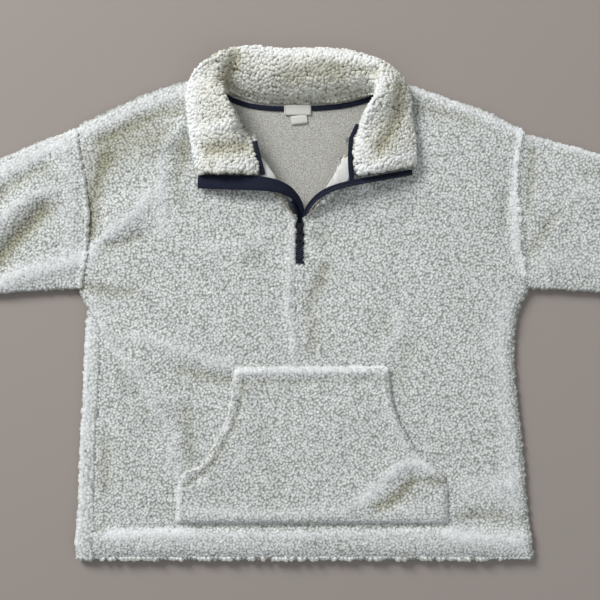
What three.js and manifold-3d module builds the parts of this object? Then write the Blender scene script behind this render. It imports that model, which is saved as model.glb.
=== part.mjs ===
// Sherpa fleece pullover with a half zip, laid out flat and face up.
// Millimetres, +Z up, the hem towards -Y and the wearer's right sleeve towards -X.
// The origin is on the surface under the body, on its centre line, where the back panel rests.
import * as THREE from 'three';
import Module from 'manifold-3d';

// Driving dimensions of the cloth
const PILE_WALL = 4.5;
const SEAM_GAP = 0.3;
const FLAT_HEIGHT = 10;
const SIDE_RADIUS = FLAT_HEIGHT / 2;
const FRONT_PUFF = 1.9;
const LOWEST_FRONT = PILE_WALL + SEAM_GAP + PILE_WALL;

// Driving dimensions of the body
const HEM_LEVEL = -327;
const HEM_DEPTH = 42;
const HEM_BULGE = 1.8;
const STITCH_VALLEY = 1.6;
const UNDERARM_LEVEL = 17;
const ARMHOLE_FLATS = [0, 0.17, 0.33, 0.5, 0.67, 0.83, 1];
const SLOT_BOTTOM = 47;
const SLOT_HALF_WIDTH = 5.8;
const SIDE_ZONE = 25;

// Driving dimensions of the lapels, where the front turns over beside the open zip
const FOLD_RADIUS = 2.75;
const FOLD_LENGTH = Math.PI * FOLD_RADIUS;
const FOLD_OUTSIDE = FOLD_RADIUS + PILE_WALL / 2;
const LAPEL_REACH = 38;

// Driving dimensions of the collar, two layers of cloth that are one at the top edge
const COLLAR_HALF_HEIGHT = 5;
const COLLAR_WALL = 4.2;

// Driving dimensions of the pocket, sleeves and trims
const POCKET_WALL = 4.2;
const POCKET_BINDING = 1.1;
const BINDING_WIDTH = 9;
const CUFF_DEPTH = 32;
const TAPE_THICKNESS = 1;
const CHAIN_LEVEL = 6.8;

// Colours of the cloth and trims
const FLEECE = { color: 0xe9e6da, roughness: 1, metalness: 0 };
const NAVY_TAPE = { color: 0x1d2742, roughness: 0.8, metalness: 0 };
const NAVY_METAL = { color: 0x171c2c, roughness: 0.4, metalness: 0.3 };
const LABEL_CLOTH = { color: 0xdcd8c8, roughness: 0.9, metalness: 0 };

// The outline of the body at each level, from the hem to the shoulders.
const BODY_OUTLINE = [
  { level: -327, left: -284, right: 294 },
  { level: -306, left: -287, right: 292 },
  { level: -279, left: -281.5, right: 287.5 },
  { level: -233, left: -281.3, right: 284 },
  { level: -172, left: -278.7, right: 279 },
  { level: -111, left: -274.9, right: 272 },
  { level: -66, left: -273.7, right: 268.6 },
  { level: -20, left: -271.1, right: 274 },
  { level: -5, left: -269, right: 277.5 },
  { level: 14, left: -279, right: 287.6 },
  { level: 30, left: -275.5, right: 285.8 },
  { level: 75, left: -268.6, right: 281.5 },
  { level: 110, left: -268.6, right: 276.5 },
  { level: 155, left: -274, right: 274 },
  { level: 200, left: -282.6, right: 280 },
  { level: 218, left: -285.3, right: 283 },
];

// How far the two panels curl round the sides. inset is from the outline to where the curl starts,
// and a front below zero stops short of it, because the back panel comes up over the edge there.
const LEFT_SIDE = [
  { level: -327, inset: 5, back: 33, front: -17.6 },
  { level: -279, inset: 5, back: 31.2, front: -15.8 },
  { level: -225, inset: 5, back: 30.6, front: -15.2 },
  { level: -113, inset: 5, back: 29.8, front: -14.4 },
  { level: -45, inset: 5, back: 31.5, front: -16.1 },
  { level: -24, inset: 5, back: 24, front: -8.6 },
  { level: -8, inset: 5, back: 12, front: 3.4 },
  { level: 6, inset: 5, back: 7.7, front: 7.7 },
  { level: 11, inset: 5, back: 7.7, front: 7.7 },
  { level: UNDERARM_LEVEL, inset: 0.6, back: 0.6, front: 0.6 },
];
const RIGHT_SIDE = [
  { level: -327, inset: 5, back: 7.7, front: 7.7 },
  { level: 11, inset: 5, back: 7.7, front: 7.7 },
  { level: UNDERARM_LEVEL, inset: 0.6, back: 0.6, front: 0.6 },
];

// The top edge of the body across its width: the shoulders, and between them the back neck.
const SHOULDER_LINE = [
  { across: -285.3, top: 217 },
  { across: -230.6, top: 243.3 },
  { across: -182.5, top: 263.5 },
  { across: -143, top: 275.5 },
  { across: -108, top: 281 },
  { across: 103, top: 277 },
  { across: 133, top: 271.5 },
  { across: 185, top: 253.4 },
  { across: 235.7, top: 236.9 },
  { across: 283, top: 212 },
];
const BACK_NECK = [
  { across: -108, top: 281 },
  { across: -100, top: 271 },
  { across: -88, top: 266 },
  { across: -62, top: 257.5 },
  { across: -25, top: 254 },
  { across: 15, top: 254.5 },
  { across: 50, top: 257 },
  { across: 80, top: 263.5 },
  { across: 95, top: 269 },
  { across: 103, top: 277 },
];
const NECK_LEFT = BACK_NECK[0].across;
const NECK_RIGHT = BACK_NECK[BACK_NECK.length - 1].across;

// The two edges of the front's opening. roll is the line the eye sees, lift is how much the cloth
// rises there, and turned is how far it goes over, along the cloth, from where it starts to turn.
const LEFT_OPENING = [
  { level: SLOT_BOTTOM, roll: 0, lift: 0, turned: 0 },
  { level: 50, roll: -SLOT_HALF_WIDTH, lift: 0, turned: 0 },
  { level: 92, roll: -SLOT_HALF_WIDTH, lift: 0.3, turned: 0 },
  { level: 101, roll: -6.4, lift: 1.5, turned: 4 },
  { level: 112, roll: -10, lift: 3.5, turned: FOLD_LENGTH },
  { level: 124, roll: -16, lift: 5.5, turned: FOLD_LENGTH + 2 },
  { level: 138, roll: -22.5, lift: 7.5, turned: FOLD_LENGTH + 8 },
  { level: 152, roll: -29, lift: 9, turned: FOLD_LENGTH + 14 },
  { level: 165, roll: -36, lift: 10, turned: FOLD_LENGTH + 9 },
  { level: 178, roll: -45, lift: 10, turned: FOLD_LENGTH + 4 },
  { level: 190, roll: -53, lift: 10, turned: FOLD_LENGTH },
  { level: 201, roll: -59, lift: 9.5, turned: 4 },
  { level: 212, roll: -67, lift: 8.5, turned: 0 },
  { level: 226, roll: -80, lift: 7, turned: 0 },
  { level: 242, roll: -94, lift: 5, turned: 0 },
  { level: 258, roll: -104, lift: 3, turned: 0 },
  { level: 281, roll: -108, lift: 0.5, turned: 0 },
];
const RIGHT_OPENING = [
  { level: SLOT_BOTTOM, roll: 0, lift: 0, turned: 0 },
  { level: 50, roll: SLOT_HALF_WIDTH, lift: 0, turned: 0 },
  { level: 92, roll: SLOT_HALF_WIDTH, lift: 0.3, turned: 0 },
  { level: 101, roll: 7, lift: 1.5, turned: 4 },
  { level: 112, roll: 13, lift: 3.5, turned: FOLD_LENGTH },
  { level: 124, roll: 20, lift: 5.5, turned: FOLD_LENGTH + 5 },
  { level: 138, roll: 30, lift: 7.5, turned: FOLD_LENGTH + 14 },
  { level: 152, roll: 38, lift: 9, turned: FOLD_LENGTH + 22 },
  { level: 165, roll: 45, lift: 10, turned: FOLD_LENGTH + 14 },
  { level: 178, roll: 51, lift: 10, turned: FOLD_LENGTH + 7 },
  { level: 190, roll: 57, lift: 10, turned: FOLD_LENGTH + 1 },
  { level: 201, roll: 63, lift: 9.5, turned: 4 },
  { level: 212, roll: 70, lift: 8.5, turned: 0 },
  { level: 226, roll: 79, lift: 7, turned: 0 },
  { level: 242, roll: 92, lift: 5, turned: 0 },
  { level: 258, roll: 103, lift: 3, turned: 0 },
  { level: 277, roll: 104, lift: 0.5, turned: 0 },
];

// The levels of the front's rows at its side edges and at its centre.
const FRONT_ROWS = [
  { side: -327, centre: -327 },
  { side: -324, centre: -324 },
  { side: -316, centre: -316 },
  { side: -303, centre: -303 },
  { side: -291, centre: -291 },
  { side: -286, centre: -286 },
  { side: -281, centre: -281 },
  { side: -262, centre: -260 },
  { side: -242, centre: -238 },
  { side: -222, centre: -216 },
  { side: -201, centre: -193 },
  { side: -180, centre: -169 },
  { side: -158, centre: -145 },
  { side: -136, centre: -120 },
  { side: -113, centre: -94 },
  { side: -90, centre: -68 },
  { side: -67, centre: -42 },
  { side: -45, centre: -16 },
  { side: -24, centre: 6 },
  { side: -8, centre: 22 },
  { side: 6, centre: 36 },
  { side: 11, centre: SLOT_BOTTOM },
  { side: UNDERARM_LEVEL, centre: 50 },
  { side: 34, centre: 70 },
  { side: 52, centre: 92 },
  { side: 66, centre: 101 },
  { side: 78, centre: 112 },
  { side: 90, centre: 124 },
  { side: 102, centre: 138 },
  { side: 115, centre: 152 },
  { side: 127, centre: 165 },
  { side: 138, centre: 178 },
  { side: 149, centre: 190 },
  { side: 160, centre: 201 },
  { side: 172, centre: 216 },
  { side: 182, centre: 234 },
  { side: 192, centre: 254 },
];

// The levels at which the side seams bend, which the front and the back share.
const BACK_LEVELS = [-327, -324, -303, -286, -242, -201, -158, -113, -67, -45, -24, -8, 6, 11, UNDERARM_LEVEL];

// Where the columns of a side zone lie between its inner line and the panel's edge.
const BACK_LEFT_STEPS = [0, 0.43, 0.5, 0.57, 0.635, 0.7, 0.8, 0.9, 1];
const SHORT_CURL_STEPS = [0, 0.76, 0.88, 1];
const FOLD_STEPS = [0, 0.5, 0.57, 0.64, 0.72, 1];
const EVEN_STEPS = [0, 0.2, 0.4, 0.6, 0.8, 1];
const SHOULDER_CURLS = [0, Math.PI / 4, Math.PI / 2 - 0.03];

// The largest folds, as soft ridges, and below zero as troughs, from one point to another.
const FRONT_FOLDS = [
  { fromX: -252, fromY: -34, toX: -218, toY: -77, height: 2.4, width: 9 },
  { fromX: -218, fromY: -77, toX: -184, toY: -124, height: 3, width: 10 },
  { fromX: -184, fromY: -124, toX: -150, toY: -205, height: 2.6, width: 10 },
  { fromX: -266, fromY: 66, toX: -209, toY: 122, height: 5, width: 15 },
  { fromX: -177, fromY: 196, toX: -141, toY: 222, height: 3.5, width: 13 },
  { fromX: -246, fromY: 203, toX: -147, toY: 250, height: -1.8, width: 12 },
  { fromX: -262, fromY: 100, toX: -241, toY: 192, height: -1.8, width: 13 },
  { fromX: -241, fromY: 62, toX: -185, toY: 92, height: -1.8, width: 13 },
  { fromX: 22, fromY: 128, toX: 88, toY: 76, height: -1.8, width: 16 },
  { fromX: 262, fromY: -110, toX: 270, toY: -270, height: 1.6, width: 9 },
  { fromX: 180, fromY: 196, toX: 240, toY: 120, height: 1.8, width: 18 },
  { fromX: -40, fromY: -30, toX: 30, toY: -60, height: 1.2, width: 26 },
];
const POCKET_FOLDS = [
  { fromX: 124, fromY: -206, toX: 62, toY: -258, height: 2.6, width: 7 },
  { fromX: 138, fromY: -236, toX: 98, toY: -258, height: -1.6, width: 7 },
];
const LEFT_SLEEVE_FOLDS = [
  { fromX: -430, fromY: 48, toX: -334, toY: 138, height: 5, width: 13 },
  { fromX: -360, fromY: 30, toX: -296, toY: 74, height: 5, width: 15 },
  { fromX: -560, fromY: 60, toX: -510, toY: 100, height: 4, width: 16 },
  { fromX: -690, fromY: 20, toX: -650, toY: 60, height: 3.5, width: 14 },
];
const RIGHT_SLEEVE_FOLDS = [
  { fromX: 322, fromY: 168, toX: 396, toY: 96, height: 3, width: 18 },
  { fromX: 318, fromY: 50, toX: 420, toY: 66, height: 2.6, width: 18 },
  { fromX: 520, fromY: 50, toX: 590, toY: 88, height: 4, width: 16 },
  { fromX: 664, fromY: 18, toX: 700, toY: 54, height: 3.2, width: 14 },
];

// Reads one column of a table as a smooth curve of its key, level past both ends.
function curveOf(rows, key, column) {
  const at = rows.map((row) => row[key]);
  const value = rows.map((row) => row[column]);
  const lastSpan = rows.length - 2;
  const chord = at.slice(1).map((end, i) => (value[i + 1] - value[i]) / (end - at[i]));
  const slope = value.map((_, i) => {
    const before = chord[Math.max(i - 1, 0)];
    const after = chord[Math.min(i, lastSpan)];
    return before * after <= 0 ? 0 : (2 * before * after) / (before + after);
  });
  return (where) => {
    const place = Math.min(Math.max(where, at[0]), at[lastSpan + 1]);
    let i = 0;
    while (i < lastSpan && place > at[i + 1]) i += 1;
    const span = at[i + 1] - at[i];
    const t = (place - at[i]) / span;
    const fromStart = value[i] * (1 + 2 * t) * (1 - t) ** 2 + slope[i] * span * t * (1 - t) ** 2;
    const fromEnd = value[i + 1] * t ** 2 * (3 - 2 * t) - slope[i + 1] * span * t ** 2 * (1 - t);
    return fromStart + fromEnd;
  };
}

const mix = (from, to, t) => from + (to - from) * t;
const clamp = (value, low, high) => Math.min(Math.max(value, low), high);
const soften = (value) => THREE.MathUtils.smoothstep(value, 0, 1);
const bell = (distance, width) => Math.exp(-((distance / width) ** 2));
const placeKey = (...place) => place.map((value) => Math.round(value * 1000)).join(' ');

// Adds up the ridges and troughs of a table at one point.
function foldHeight(folds, x, y) {
  const point = new THREE.Vector3(x, y, 0);
  const nearest = new THREE.Vector3();
  return folds.reduce((sum, fold) => {
    const from = new THREE.Vector3(fold.fromX, fold.fromY, 0);
    const line = new THREE.Line3(from, new THREE.Vector3(fold.toX, fold.toY, 0));
    line.closestPointToPoint(point, true, nearest);
    return sum + fold.height * bell(nearest.distanceTo(point), fold.width);
  }, 0);
}

// Straightens a curve between the levels where the side seams and armholes bend.
function bentAt(levels, curve) {
  return (level) => {
    const place = clamp(level, levels[0], levels[levels.length - 1]);
    const i = Math.max(levels.findIndex((end) => end >= place), 1);
    return mix(curve(levels[i - 1]), curve(levels[i]), (place - levels[i - 1]) / (levels[i] - levels[i - 1]));
  };
}

// The two halves of the body: sign is -1 for the left of the picture and 1 for its right.
const SHOULDER_TIP = { left: 217, right: 212 };
const UNDERARM_SEAM = 14;
const seamLevels = (tip) => {
  const low = UNDERARM_SEAM + SIDE_RADIUS;
  const armhole = ARMHOLE_FLATS.map((flat) => mix(low, tip - SIDE_RADIUS, flat));
  return [...BACK_LEVELS, ...armhole, tip];
};
const LEFT_LEVELS = seamLevels(SHOULDER_TIP.left);
const RIGHT_LEVELS = seamLevels(SHOULDER_TIP.right);
const LEFT = {
  sign: -1,
  tip: SHOULDER_TIP.left,
  neck: NECK_LEFT,
  edge: bentAt(LEFT_LEVELS, curveOf(BODY_OUTLINE, 'level', 'left')),
  inset: bentAt(LEFT_LEVELS, curveOf(LEFT_SIDE, 'level', 'inset')),
  backCurl: bentAt(LEFT_LEVELS, curveOf(LEFT_SIDE, 'level', 'back')),
  frontCurl: bentAt(LEFT_LEVELS, curveOf(LEFT_SIDE, 'level', 'front')),
  roll: curveOf(LEFT_OPENING, 'level', 'roll'),
  lift: curveOf(LEFT_OPENING, 'level', 'lift'),
  turned: curveOf(LEFT_OPENING, 'level', 'turned'),
};
const RIGHT = {
  sign: 1,
  tip: SHOULDER_TIP.right,
  neck: NECK_RIGHT,
  edge: bentAt(RIGHT_LEVELS, curveOf(BODY_OUTLINE, 'level', 'right')),
  inset: bentAt(RIGHT_LEVELS, curveOf(RIGHT_SIDE, 'level', 'inset')),
  backCurl: bentAt(RIGHT_LEVELS, curveOf(RIGHT_SIDE, 'level', 'back')),
  frontCurl: bentAt(RIGHT_LEVELS, curveOf(RIGHT_SIDE, 'level', 'front')),
  roll: curveOf(RIGHT_OPENING, 'level', 'roll'),
  lift: curveOf(RIGHT_OPENING, 'level', 'lift'),
  turned: curveOf(RIGHT_OPENING, 'level', 'turned'),
};
const shoulderTop = curveOf(SHOULDER_LINE, 'across', 'top');
const neckTop = curveOf(BACK_NECK, 'across', 'top');

// The height of the front panel's pile over the surface.
function frontTop(x, y) {
  const half = x < 0 ? LEFT : RIGHT;
  const fromSide = half.sign * (half.edge(y) - x) - SIDE_RADIUS;
  const fromShoulder = shoulderTop(x) - SIDE_RADIUS - y;
  const inside = soften(clamp(fromSide / 26, 0, 1)) * soften(clamp(fromShoulder / 22, 0, 1));
  const fromHem = y - HEM_LEVEL;
  const hemRound = 3.4 * inside * (1 - soften(clamp(fromHem / 7, 0, 1)));
  const hem = HEM_BULGE * bell(fromHem - HEM_DEPTH * 0.52, HEM_DEPTH * 0.3) - hemRound;
  const valley = STITCH_VALLEY * bell(fromHem - HEM_DEPTH, 3.5);
  const fromRoll = Math.abs(half.roll(y) - x);
  const lapel = half.lift(y) * bell(fromRoll, LAPEL_REACH);
  const folds = inside * (FRONT_PUFF + foldHeight(FRONT_FOLDS, x, y)) - valley * inside;
  return Math.max(FLAT_HEIGHT + folds, LOWEST_FRONT) + hem + lapel;
}

// Walls of cloth. A sheet holds outer and inner points and the faces between them.
class Sheet {
  constructor() {
    this.outer = [];
    this.inner = [];
    this.faces = [];
    this.known = new Map();
  }

  corner(outer, inner) {
    const key = placeKey(...outer.toArray());
    if (!this.known.has(key)) {
      this.known.set(key, this.outer.length);
      this.outer.push(outer);
      this.inner.push(inner);
    }
    return this.known.get(key);
  }

  // Fills a grid of corners with faces, whose outer side is on the left of row then column.
  grid(rows, closed = false) {
    const ids = rows.map((row) => row.map(({ outer, inner }) => this.corner(outer, inner)));
    for (let j = 0; j < ids.length - 1; j += 1) {
      const count = ids[j].length;
      for (let i = 0; i < (closed ? count : count - 1); i += 1) {
        const next = (i + 1) % count;
        const face = [ids[j][i], ids[j][next], ids[j + 1][next], ids[j + 1][i]];
        const loop = face.filter((id, k) => id !== face[(k + 1) % 4]);
        if (loop.length > 2) this.faces.push(loop);
      }
    }
  }

  // Gives the closed wall: both skins, and a strip along each free edge.
  geometry() {
    const count = this.outer.length;
    const triangles = [];
    const free = new Map();
    this.faces.forEach((loop) => {
      for (let k = 1; k < loop.length - 1; k += 1) {
        triangles.push(loop[0], loop[k], loop[k + 1]);
        triangles.push(count + loop[0], count + loop[k + 1], count + loop[k]);
      }
      loop.forEach((from, k) => {
        const to = loop[(k + 1) % loop.length];
        if (!free.delete(`${to} ${from}`)) free.set(`${from} ${to}`, [from, to]);
      });
    });
    free.forEach(([from, to]) => {
      triangles.push(to, from, count + from);
      triangles.push(to, count + from, count + to);
    });
    const geometry = new THREE.BufferGeometry();
    const points = [...this.outer, ...this.inner].flatMap((point) => point.toArray());
    geometry.setAttribute('position', new THREE.Float32BufferAttribute(points, 3));
    geometry.setIndex(triangles);
    geometry.computeVertexNormals();
    return geometry;
  }
}

// A place along a curl: along is the way round from where the curl starts, and below zero before it.
function curl(along, radius) {
  const angle = clamp(along / radius, 0, Math.PI);
  const past = Math.max(along - Math.PI * radius, 0);
  const before = Math.max(-along, 0);
  return {
    run: before + past - radius * Math.sin(angle),
    rise: radius * (1 - Math.cos(angle)),
    angle,
  };
}

// One row of the front's half, from its side edge to its centre.
function frontRow(half, sideLevel, centreLevel, shoulder) {
  const side = half.edge(sideLevel);
  const inner = half.sign < 0 ? 1 : -1;
  const turned = half.turned(centreLevel);
  const folding = clamp(turned / FOLD_LENGTH, 0, 1);
  const turnStart = half.roll(centreLevel) - inner * FOLD_OUTSIDE * folding;
  const zoneEnd = side + inner * (half.inset(sideLevel) + SIDE_ZONE);
  const lapelZone = Math.min(SIDE_ZONE, Math.abs(turnStart - zoneEnd) / 3);
  const columns = [];
  [...SHORT_CURL_STEPS].reverse().forEach((step) => {
    const place = curl(mix(-SIDE_ZONE, half.frontCurl(sideLevel), step), SIDE_RADIUS);
    columns.push({ x: side + inner * (half.inset(sideLevel) + place.run), drop: place.rise, sideAngle: place.angle });
  });
  const middleCells = 7;
  for (let i = 1; i < middleCells; i += 1) {
    columns.push({ x: mix(zoneEnd, turnStart - inner * lapelZone, i / middleCells), drop: 0, sideAngle: 0 });
  }
  FOLD_STEPS.forEach((foldStep, i) => {
    const step = mix(EVEN_STEPS[i], foldStep, folding);
    const place = curl(mix(-lapelZone, turned, step), FOLD_RADIUS);
    columns.push({ x: turnStart - inner * place.run, lapel: place, turnStart });
  });
  return columns.map((column) => {
    const share = clamp((column.x - side) / (turnStart - side), 0, 1);
    return frontPoint(half, { ...column, share }, mix(sideLevel, centreLevel, share), shoulder);
  });
}

// One point of the front, through its wall: on the flat, round the side or shoulder, or over a lapel.
function frontPoint(half, column, rowLevel, shoulder) {
  const { x } = column;
  let y = rowLevel;
  let drop = column.drop ?? 0;
  const normal = new THREE.Vector3(half.sign * Math.sin(column.sideAngle ?? 0), 0, 1);
  normal.z = Math.cos(column.sideAngle ?? 0);
  if (shoulder.curled) {
    y = shoulderTop(x) - SIDE_RADIUS * (1 - Math.sin(shoulder.angle));
    drop = Math.max(drop, SIDE_RADIUS * (1 - Math.cos(shoulder.angle)));
    normal.y = Math.sin(shoulder.angle);
    normal.z *= Math.cos(shoulder.angle);
  } else {
    const above = mix(half.edge(half.tip), half.neck, column.share);
    y += (shoulderTop(above) - mix(half.tip, shoulderTop(half.neck), column.share)) * shoulder.share;
  }
  normal.normalize();
  if (column.lapel && column.lapel.angle > 0) {
    const { angle, rise } = column.lapel;
    const across = new THREE.Vector3(half.sign * Math.sin(angle), 0, Math.cos(angle));
    const middle = frontTop(column.turnStart, y) - PILE_WALL / 2 + rise;
    const point = new THREE.Vector3(x, y, middle);
    return {
      outer: point.clone().addScaledVector(across, PILE_WALL / 2),
      inner: point.clone().addScaledVector(across, -PILE_WALL / 2),
    };
  }
  const outer = new THREE.Vector3(x, y, frontTop(x, y) - drop);
  const inner = outer.clone().addScaledVector(normal, -PILE_WALL);
  if (!column.sideAngle) {
    const inHem = soften(clamp((HEM_LEVEL + HEM_DEPTH - y) / 6, 0, 1));
    inner.z = mix(inner.z, PILE_WALL + 1, inHem);
  }
  return { outer, inner };
}

function frontPanel() {
  const sheet = new Sheet();
  [LEFT, RIGHT].forEach((half) => {
    const { tip, neck } = half;
    const rows = FRONT_ROWS.map(({ side, centre }) => {
      const share = clamp((side - UNDERARM_LEVEL) / (tip - UNDERARM_LEVEL), 0, 1) ** 2;
      return frontRow(half, side, centre, { curled: false, share });
    });
    SHOULDER_CURLS.forEach((angle) => {
      const level = tip - SIDE_RADIUS * (1 - Math.sin(angle));
      rows.push(frontRow(half, level, shoulderTop(neck), { curled: true, angle }));
    });
    sheet.grid(half === LEFT ? rows : rows.map((row) => [...row].reverse()));
  });
  return sheet.geometry();
}

// The back panel, its pile side down, curling up at its sides and along the shoulders.
const BACK_MIDDLE_STEPS = [0.1, 0.2, 0.276, 0.292, 0.316, 0.38, 0.46, 0.54, 0.62, 0.676, 0.698, 0.714, 0.8, 0.9];

// The columns of one row of the back, given the level of the row at each of its side edges.
function backColumns(leftLevel, rightLevel) {
  const zone = (half, level, steps) => steps.map((step) => {
    const place = curl(mix(-SIDE_ZONE, half.backCurl(level), step), SIDE_RADIUS);
    const x = half.edge(level) - half.sign * (half.inset(level) + place.run);
    return { x, rise: place.rise, angle: half.sign * place.angle };
  });
  const leftZone = zone(LEFT, leftLevel, BACK_LEFT_STEPS).reverse();
  const rightZone = zone(RIGHT, rightLevel, SHORT_CURL_STEPS);
  const from = leftZone[leftZone.length - 1].x;
  const middle = BACK_MIDDLE_STEPS.map((step) => ({ x: mix(from, rightZone[0].x, step), rise: 0, angle: 0 }));
  return [...leftZone, ...middle, ...rightZone];
}

function backPoint({ x, rise, angle }, y, up) {
  const lifted = Math.max(rise, SIDE_RADIUS * (1 - Math.cos(up)));
  const normal = new THREE.Vector3(Math.sin(angle), Math.sin(up), -Math.cos(angle) * Math.cos(up)).normalize();
  const outer = new THREE.Vector3(x, y, lifted);
  return { outer, inner: outer.clone().addScaledVector(normal, -PILE_WALL) };
}

// A row above the underarms, share of the way up to the shoulders and the neck, or curled by an angle.
function backUpperRow(share, angle) {
  const short = SIDE_RADIUS * (1 - Math.sin(angle));
  const level = (half) => mix(UNDERARM_LEVEL, half.tip - short, share);
  const columns = backColumns(level(LEFT), level(RIGHT));
  return backColumns(LEFT.tip, RIGHT.tip).map(({ x: topX }, i) => {
    const inNeck = topX > NECK_LEFT + 1 && topX < NECK_RIGHT - 1;
    const top = inNeck ? neckTop(topX) - short * 0.1 : shoulderTop(topX) - short;
    return backPoint(columns[i], mix(UNDERARM_LEVEL, top, share), inNeck ? 0 : angle);
  });
}

function backPanel() {
  const rows = BACK_LEVELS.map((level) => backColumns(level, level).map((column) => backPoint(column, level, 0)));
  ARMHOLE_FLATS.slice(1, -1).forEach((flat) => rows.push(backUpperRow(flat, 0)));
  SHOULDER_CURLS.forEach((angle) => rows.push(backUpperRow(1, angle)));
  const sheet = new Sheet();
  sheet.grid(rows.map((row) => [...row].reverse()));
  return sheet.geometry();
}

// A sleeve, as a flattened tube: its top and lower edges from the armhole to the cuff.
const LEFT_SLEEVE = [
  { along: 0, topX: -285.6, topY: 217, lowX: -279.5, lowY: 14 },
  { along: 40, topX: -324, topY: 203.5, lowX: -320, lowY: 12 },
  { along: 95, topX: -378, topY: 181, lowX: -376, lowY: 8 },
  { along: 215, topX: -500, topY: 147, lowX: -492, lowY: -6 },
  { along: 350, topX: -636, topY: 111, lowX: -620, lowY: -21.5 },
  { along: 474, topX: -759, topY: 78, lowX: -737, lowY: -36 },
];
const RIGHT_SLEEVE = [
  { along: 0, topX: 283.3, topY: 212, lowX: 288, lowY: 14 },
  { along: 40, topX: 322, topY: 202, lowX: 328, lowY: 12.5 },
  { along: 95, topX: 378, topY: 186.5, lowX: 382, lowY: 9 },
  { along: 215, topX: 500, topY: 152, lowX: 496, lowY: -3 },
  { along: 350, topX: 636, topY: 116, lowX: 622, lowY: -18 },
  { along: 474, topX: 760, topY: 84, lowX: 738, lowY: -32 },
];
const SLEEVE_STATIONS = [0, 14, 30, 48, 68, 92, 122, 165, 220, 290, 360, 415, 438, 442, 447, 460, 471, 474];
const SLEEVE_LENGTH = SLEEVE_STATIONS[SLEEVE_STATIONS.length - 1];
const SLEEVE_RING = [
  ...[135, 90, 45].map((angle) => ({ flat: 0, angle })),
  ...ARMHOLE_FLATS.map((flat) => ({ flat, angle: 0 })),
  ...[45, 90, 135].map((angle) => ({ flat: 1, angle })),
  ...[...ARMHOLE_FLATS].reverse().map((flat) => ({ flat, angle: 180 })),
];

function sleeve(half, table, folds) {
  const read = Object.fromEntries(
    ['topX', 'topY', 'lowX', 'lowY'].map((column) => [column, curveOf(table, 'along', column)]),
  );
  const rings = SLEEVE_STATIONS.map((along) => {
    const low = new THREE.Vector3(read.lowX(along), read.lowY(along), 0);
    const top = new THREE.Vector3(read.topX(along), read.topY(along), 0);
    const across = top.clone().sub(low).normalize();
    const lowTurn = low.clone().addScaledVector(across, SIDE_RADIUS);
    const topTurn = top.clone().addScaledVector(across, -SIDE_RADIUS);
    const follow = clamp(1 - along / 80, 0, 1) ** 2;
    return SLEEVE_RING.map(({ flat, angle }) => {
      const turn = THREE.MathUtils.degToRad(angle);
      const sideways = (flat === 1 ? 1 : flat === 0 ? -1 : 0) * Math.sin(turn);
      const normal = across.clone().multiplyScalar(sideways);
      normal.z = Math.cos(turn);
      const outer = lowTurn.clone().lerp(topTurn, flat);
      outer.z = SIDE_RADIUS;
      outer.addScaledVector(normal, SIDE_RADIUS);
      outer.x = mix(outer.x, half.edge(outer.y) + half.sign * SEAM_GAP + half.sign * along, follow);
      if (angle === 0 && flat > 0 && flat < 1) {
        const ends = soften(clamp(along / 24, 0, 1)) * soften(clamp((SLEEVE_LENGTH - along) / 40, 0, 1));
        outer.z += ends * (FRONT_PUFF + foldHeight(folds, outer.x, outer.y)) * Math.min(1, 3 * flat, 3 * (1 - flat));
      }
      const fromEnd = SLEEVE_LENGTH - along;
      const cuff = bell(fromEnd - CUFF_DEPTH * 0.5, CUFF_DEPTH * 0.3) - bell(fromEnd - CUFF_DEPTH, 3);
      const rounded = 1.6 * (1 - soften(clamp(fromEnd / 4, 0, 1)));
      outer.z += angle < 90 ? cuff - rounded : 0;
      const inner = outer.clone().addScaledVector(normal, -PILE_WALL);
      if (angle < 90) inner.z = Math.max(inner.z, SIDE_RADIUS + (angle === 0 ? 0.3 : 0.15));
      return { outer, inner };
    });
  });
  const sheet = new Sheet();
  sheet.grid(half.sign < 0 ? rings : rings.map((ring) => [...ring].reverse()), true);
  return sheet.geometry();
}

// The collar from its left front edge round the back to its right front edge. Each row has its
// sewn edge, a point at the height of its roll, and its top edge where the two layers are one.
const COLLAR = [
  { sewn: [-50.5, 156, 25], roll: [-84, 157, 29.5], top: [-125.5, 158, 19.5] },
  { sewn: [-59, 190, 27], roll: [-92, 194, 32], top: [-134, 200, 19.5] },
  { sewn: [-84, 228, 19], roll: [-78, 222, 37], top: [-138, 236, 19.5] },
  { sewn: [-105, 258, 14], roll: [-97, 254, 41], top: [-138, 268, 21] },
  { sewn: [-88, 265, 8], roll: [-91, 286, 24], top: [-116, 296, 33] },
  { sewn: [-60, 254, 8], roll: [-62, 284, 23], top: [-71, 313, 28] },
  { sewn: [-25, 250.5, 8], roll: [-24, 282, 27], top: [-23, 311, 21] },
  { sewn: [15, 251, 8], roll: [17, 283, 28], top: [20, 312.5, 20] },
  { sewn: [50, 253.5, 8], roll: [55, 284, 27], top: [65, 308.5, 21] },
  { sewn: [83, 262, 8], roll: [92, 282, 28], top: [110, 292, 25] },
  { sewn: [103, 256, 14], roll: [97, 253, 40], top: [134, 262, 21] },
  { sewn: [84, 226, 19], roll: [77, 221, 37], top: [136, 234, 19.5] },
  { sewn: [67, 188, 27], roll: [99, 193, 32], top: [142, 201, 19.5] },
  { sewn: [69, 155, 25], roll: [98, 159, 30], top: [142, 167, 19.5] },
];

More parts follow.
